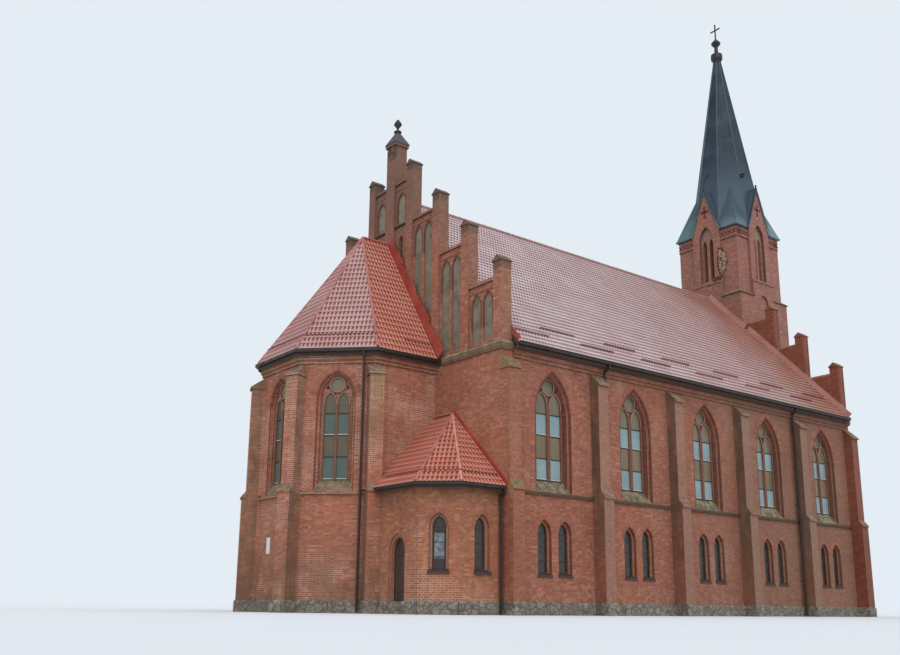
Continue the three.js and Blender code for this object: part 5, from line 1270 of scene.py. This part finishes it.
def door_finish(name, iron_before=None, iron_behind=None):
    door = Finish(name, 0.6)
    board, gap = door.laid(door.along_and_up(), 0.12, 4.0, 0.003,
                           ((46, 33, 25), (68, 50, 37), (20, 15, 11)), offset=0.0)
    fibres = door.noise(9, 5, (1, 1, 0.08))
    door.colour = door.mix(0.4, board, door.mix(fibres, (38, 28, 22), (82, 62, 46)))
    if iron_before is not None:
        black = door.mottle((30, 29, 29), (58, 52, 46), 12, 4)
        door.tint(door.y.rise(iron_before, iron_before - 0.001), black)
        door.tint(door.y.rise(iron_behind, iron_behind + 0.001), black)
    return door.done(fibres - gap, 0.004, 0.6)


dress(["annex_door"], door_finish("sacristy_door_boards", LEAF_FRONT - 0.001, LEAF_BACK + 0.0005))
dress(["west_door"], door_finish("west_door_boards"))
dress(["annex_hinge_pin_lower", "annex_hinge_pin_upper"], iron_material)


def strap_hinge(stock, wall, start, end, level, strap, first, step, out, long, radius):
    """A strap between two distances along a leaf, with four round nails in it."""
    stock.strip(wall, start, end, level, *strap)
    for number in range(4):
        nail = wall.at(first + step * number, out, level)
        stock.tube(nail, nail + long * wall.out, radius, 8, flare=0.6)


leaf = Wall(0, LEAF_FRONT, -math.pi / 2)
door_iron = Stock(37)
for level in (0.76, 2.04):
    strap_hinge(door_iron, leaf, 5.0, 5.66, level, (0.002, 0.022, 0.003), 5.06, 0.18, 0.004, 0.008, 0.011)
rail(door_iron, leaf, ring_line(5.75, 1.345, 0.05, 16), 0.006, 0.03, 0.042, closed=True)
door_iron.piece("sacristy_door_iron", iron_material, "iron", body="annex_door")

west_leaf = Wall(0, 16.505, math.pi / 2)
west_iron = Stock(38)
west_iron.bar(west_leaf.at(0, 0.006, 0.46), west_leaf.at(0, 0.006, 3.62),
              0.03 * west_leaf.along, 0.008 * west_leaf.out)
for side in (-1, 1):
    for level in (0.95, 1.75, 2.55):
        strap_hinge(west_iron, west_leaf, side * 0.77, side * 0.14, level, (0.003, 0.026, 0.004),
                    side * 0.7, -side * 0.16, 0.006, 0.01, 0.014)
rail(west_iron, west_leaf, ring_line(0.12, 1.42, 0.06, 16), 0.008, 0.01, 0.028, closed=True)
west_iron.piece("west_door_iron", iron_material, "iron")


# Floors
# Worn square clay slabs, bedded in mortar, through the nave, apse and tower, and in the sacristy.
paving = Finish("floor_paving", 0.7)
slabs, joints = paving.laid(paving.place, 0.4, 0.4, 0.006, ((120, 84, 66), (142, 104, 84), (90, 80, 70)), offset=0.0)
wear = paving.shades(paving.noise(2, 5), ((0.3, (90, 66, 54)), (0.7, (160, 130, 108))))
paving.colour = paving.mix(0.3, slabs, wear)
dress(["main_floor", "annex_floor"], paving.done(joints, 0.003, 0.5))


# Studio
# A plain pale floor, a white room round it, and one broad soft light from the right of the camera.
stage_mesh = bpy.data.meshes.new("studio_floor")
stage_mesh.from_pydata([(x, y, -0.004) for x, y in box(-400, -400, 400, 400)], [], [(0, 1, 2, 3)])
studio_floor = bpy.data.objects.new("studio_floor", stage_mesh)
bpy.context.scene.collection.objects.link(studio_floor)
pale = Finish("studio_pale", 0.9)
pale.colour = (214, 216, 218)
studio_floor.data.materials.append(pale.done())

room = bpy.data.worlds.new("studio_room")
room.use_nodes = True
room.node_tree.nodes["Background"].inputs["Color"].default_value = paint((228, 236, 244))
room.node_tree.nodes["Background"].inputs["Strength"].default_value = 1.0
bpy.context.scene.world = room
sun = bpy.data.lights.new("soft_light", "SUN")
sun.energy = 1.4
sun.angle = math.radians(50)
sun_object = bpy.data.objects.new("soft_light", sun)
sun_object.rotation_euler = Vector((0.85, -0.45, 1.1)).to_track_quat("Z", "Y").to_euler()
bpy.context.scene.collection.objects.link(sun_object)
bpy.context.scene.view_settings.view_transform = "Standard"
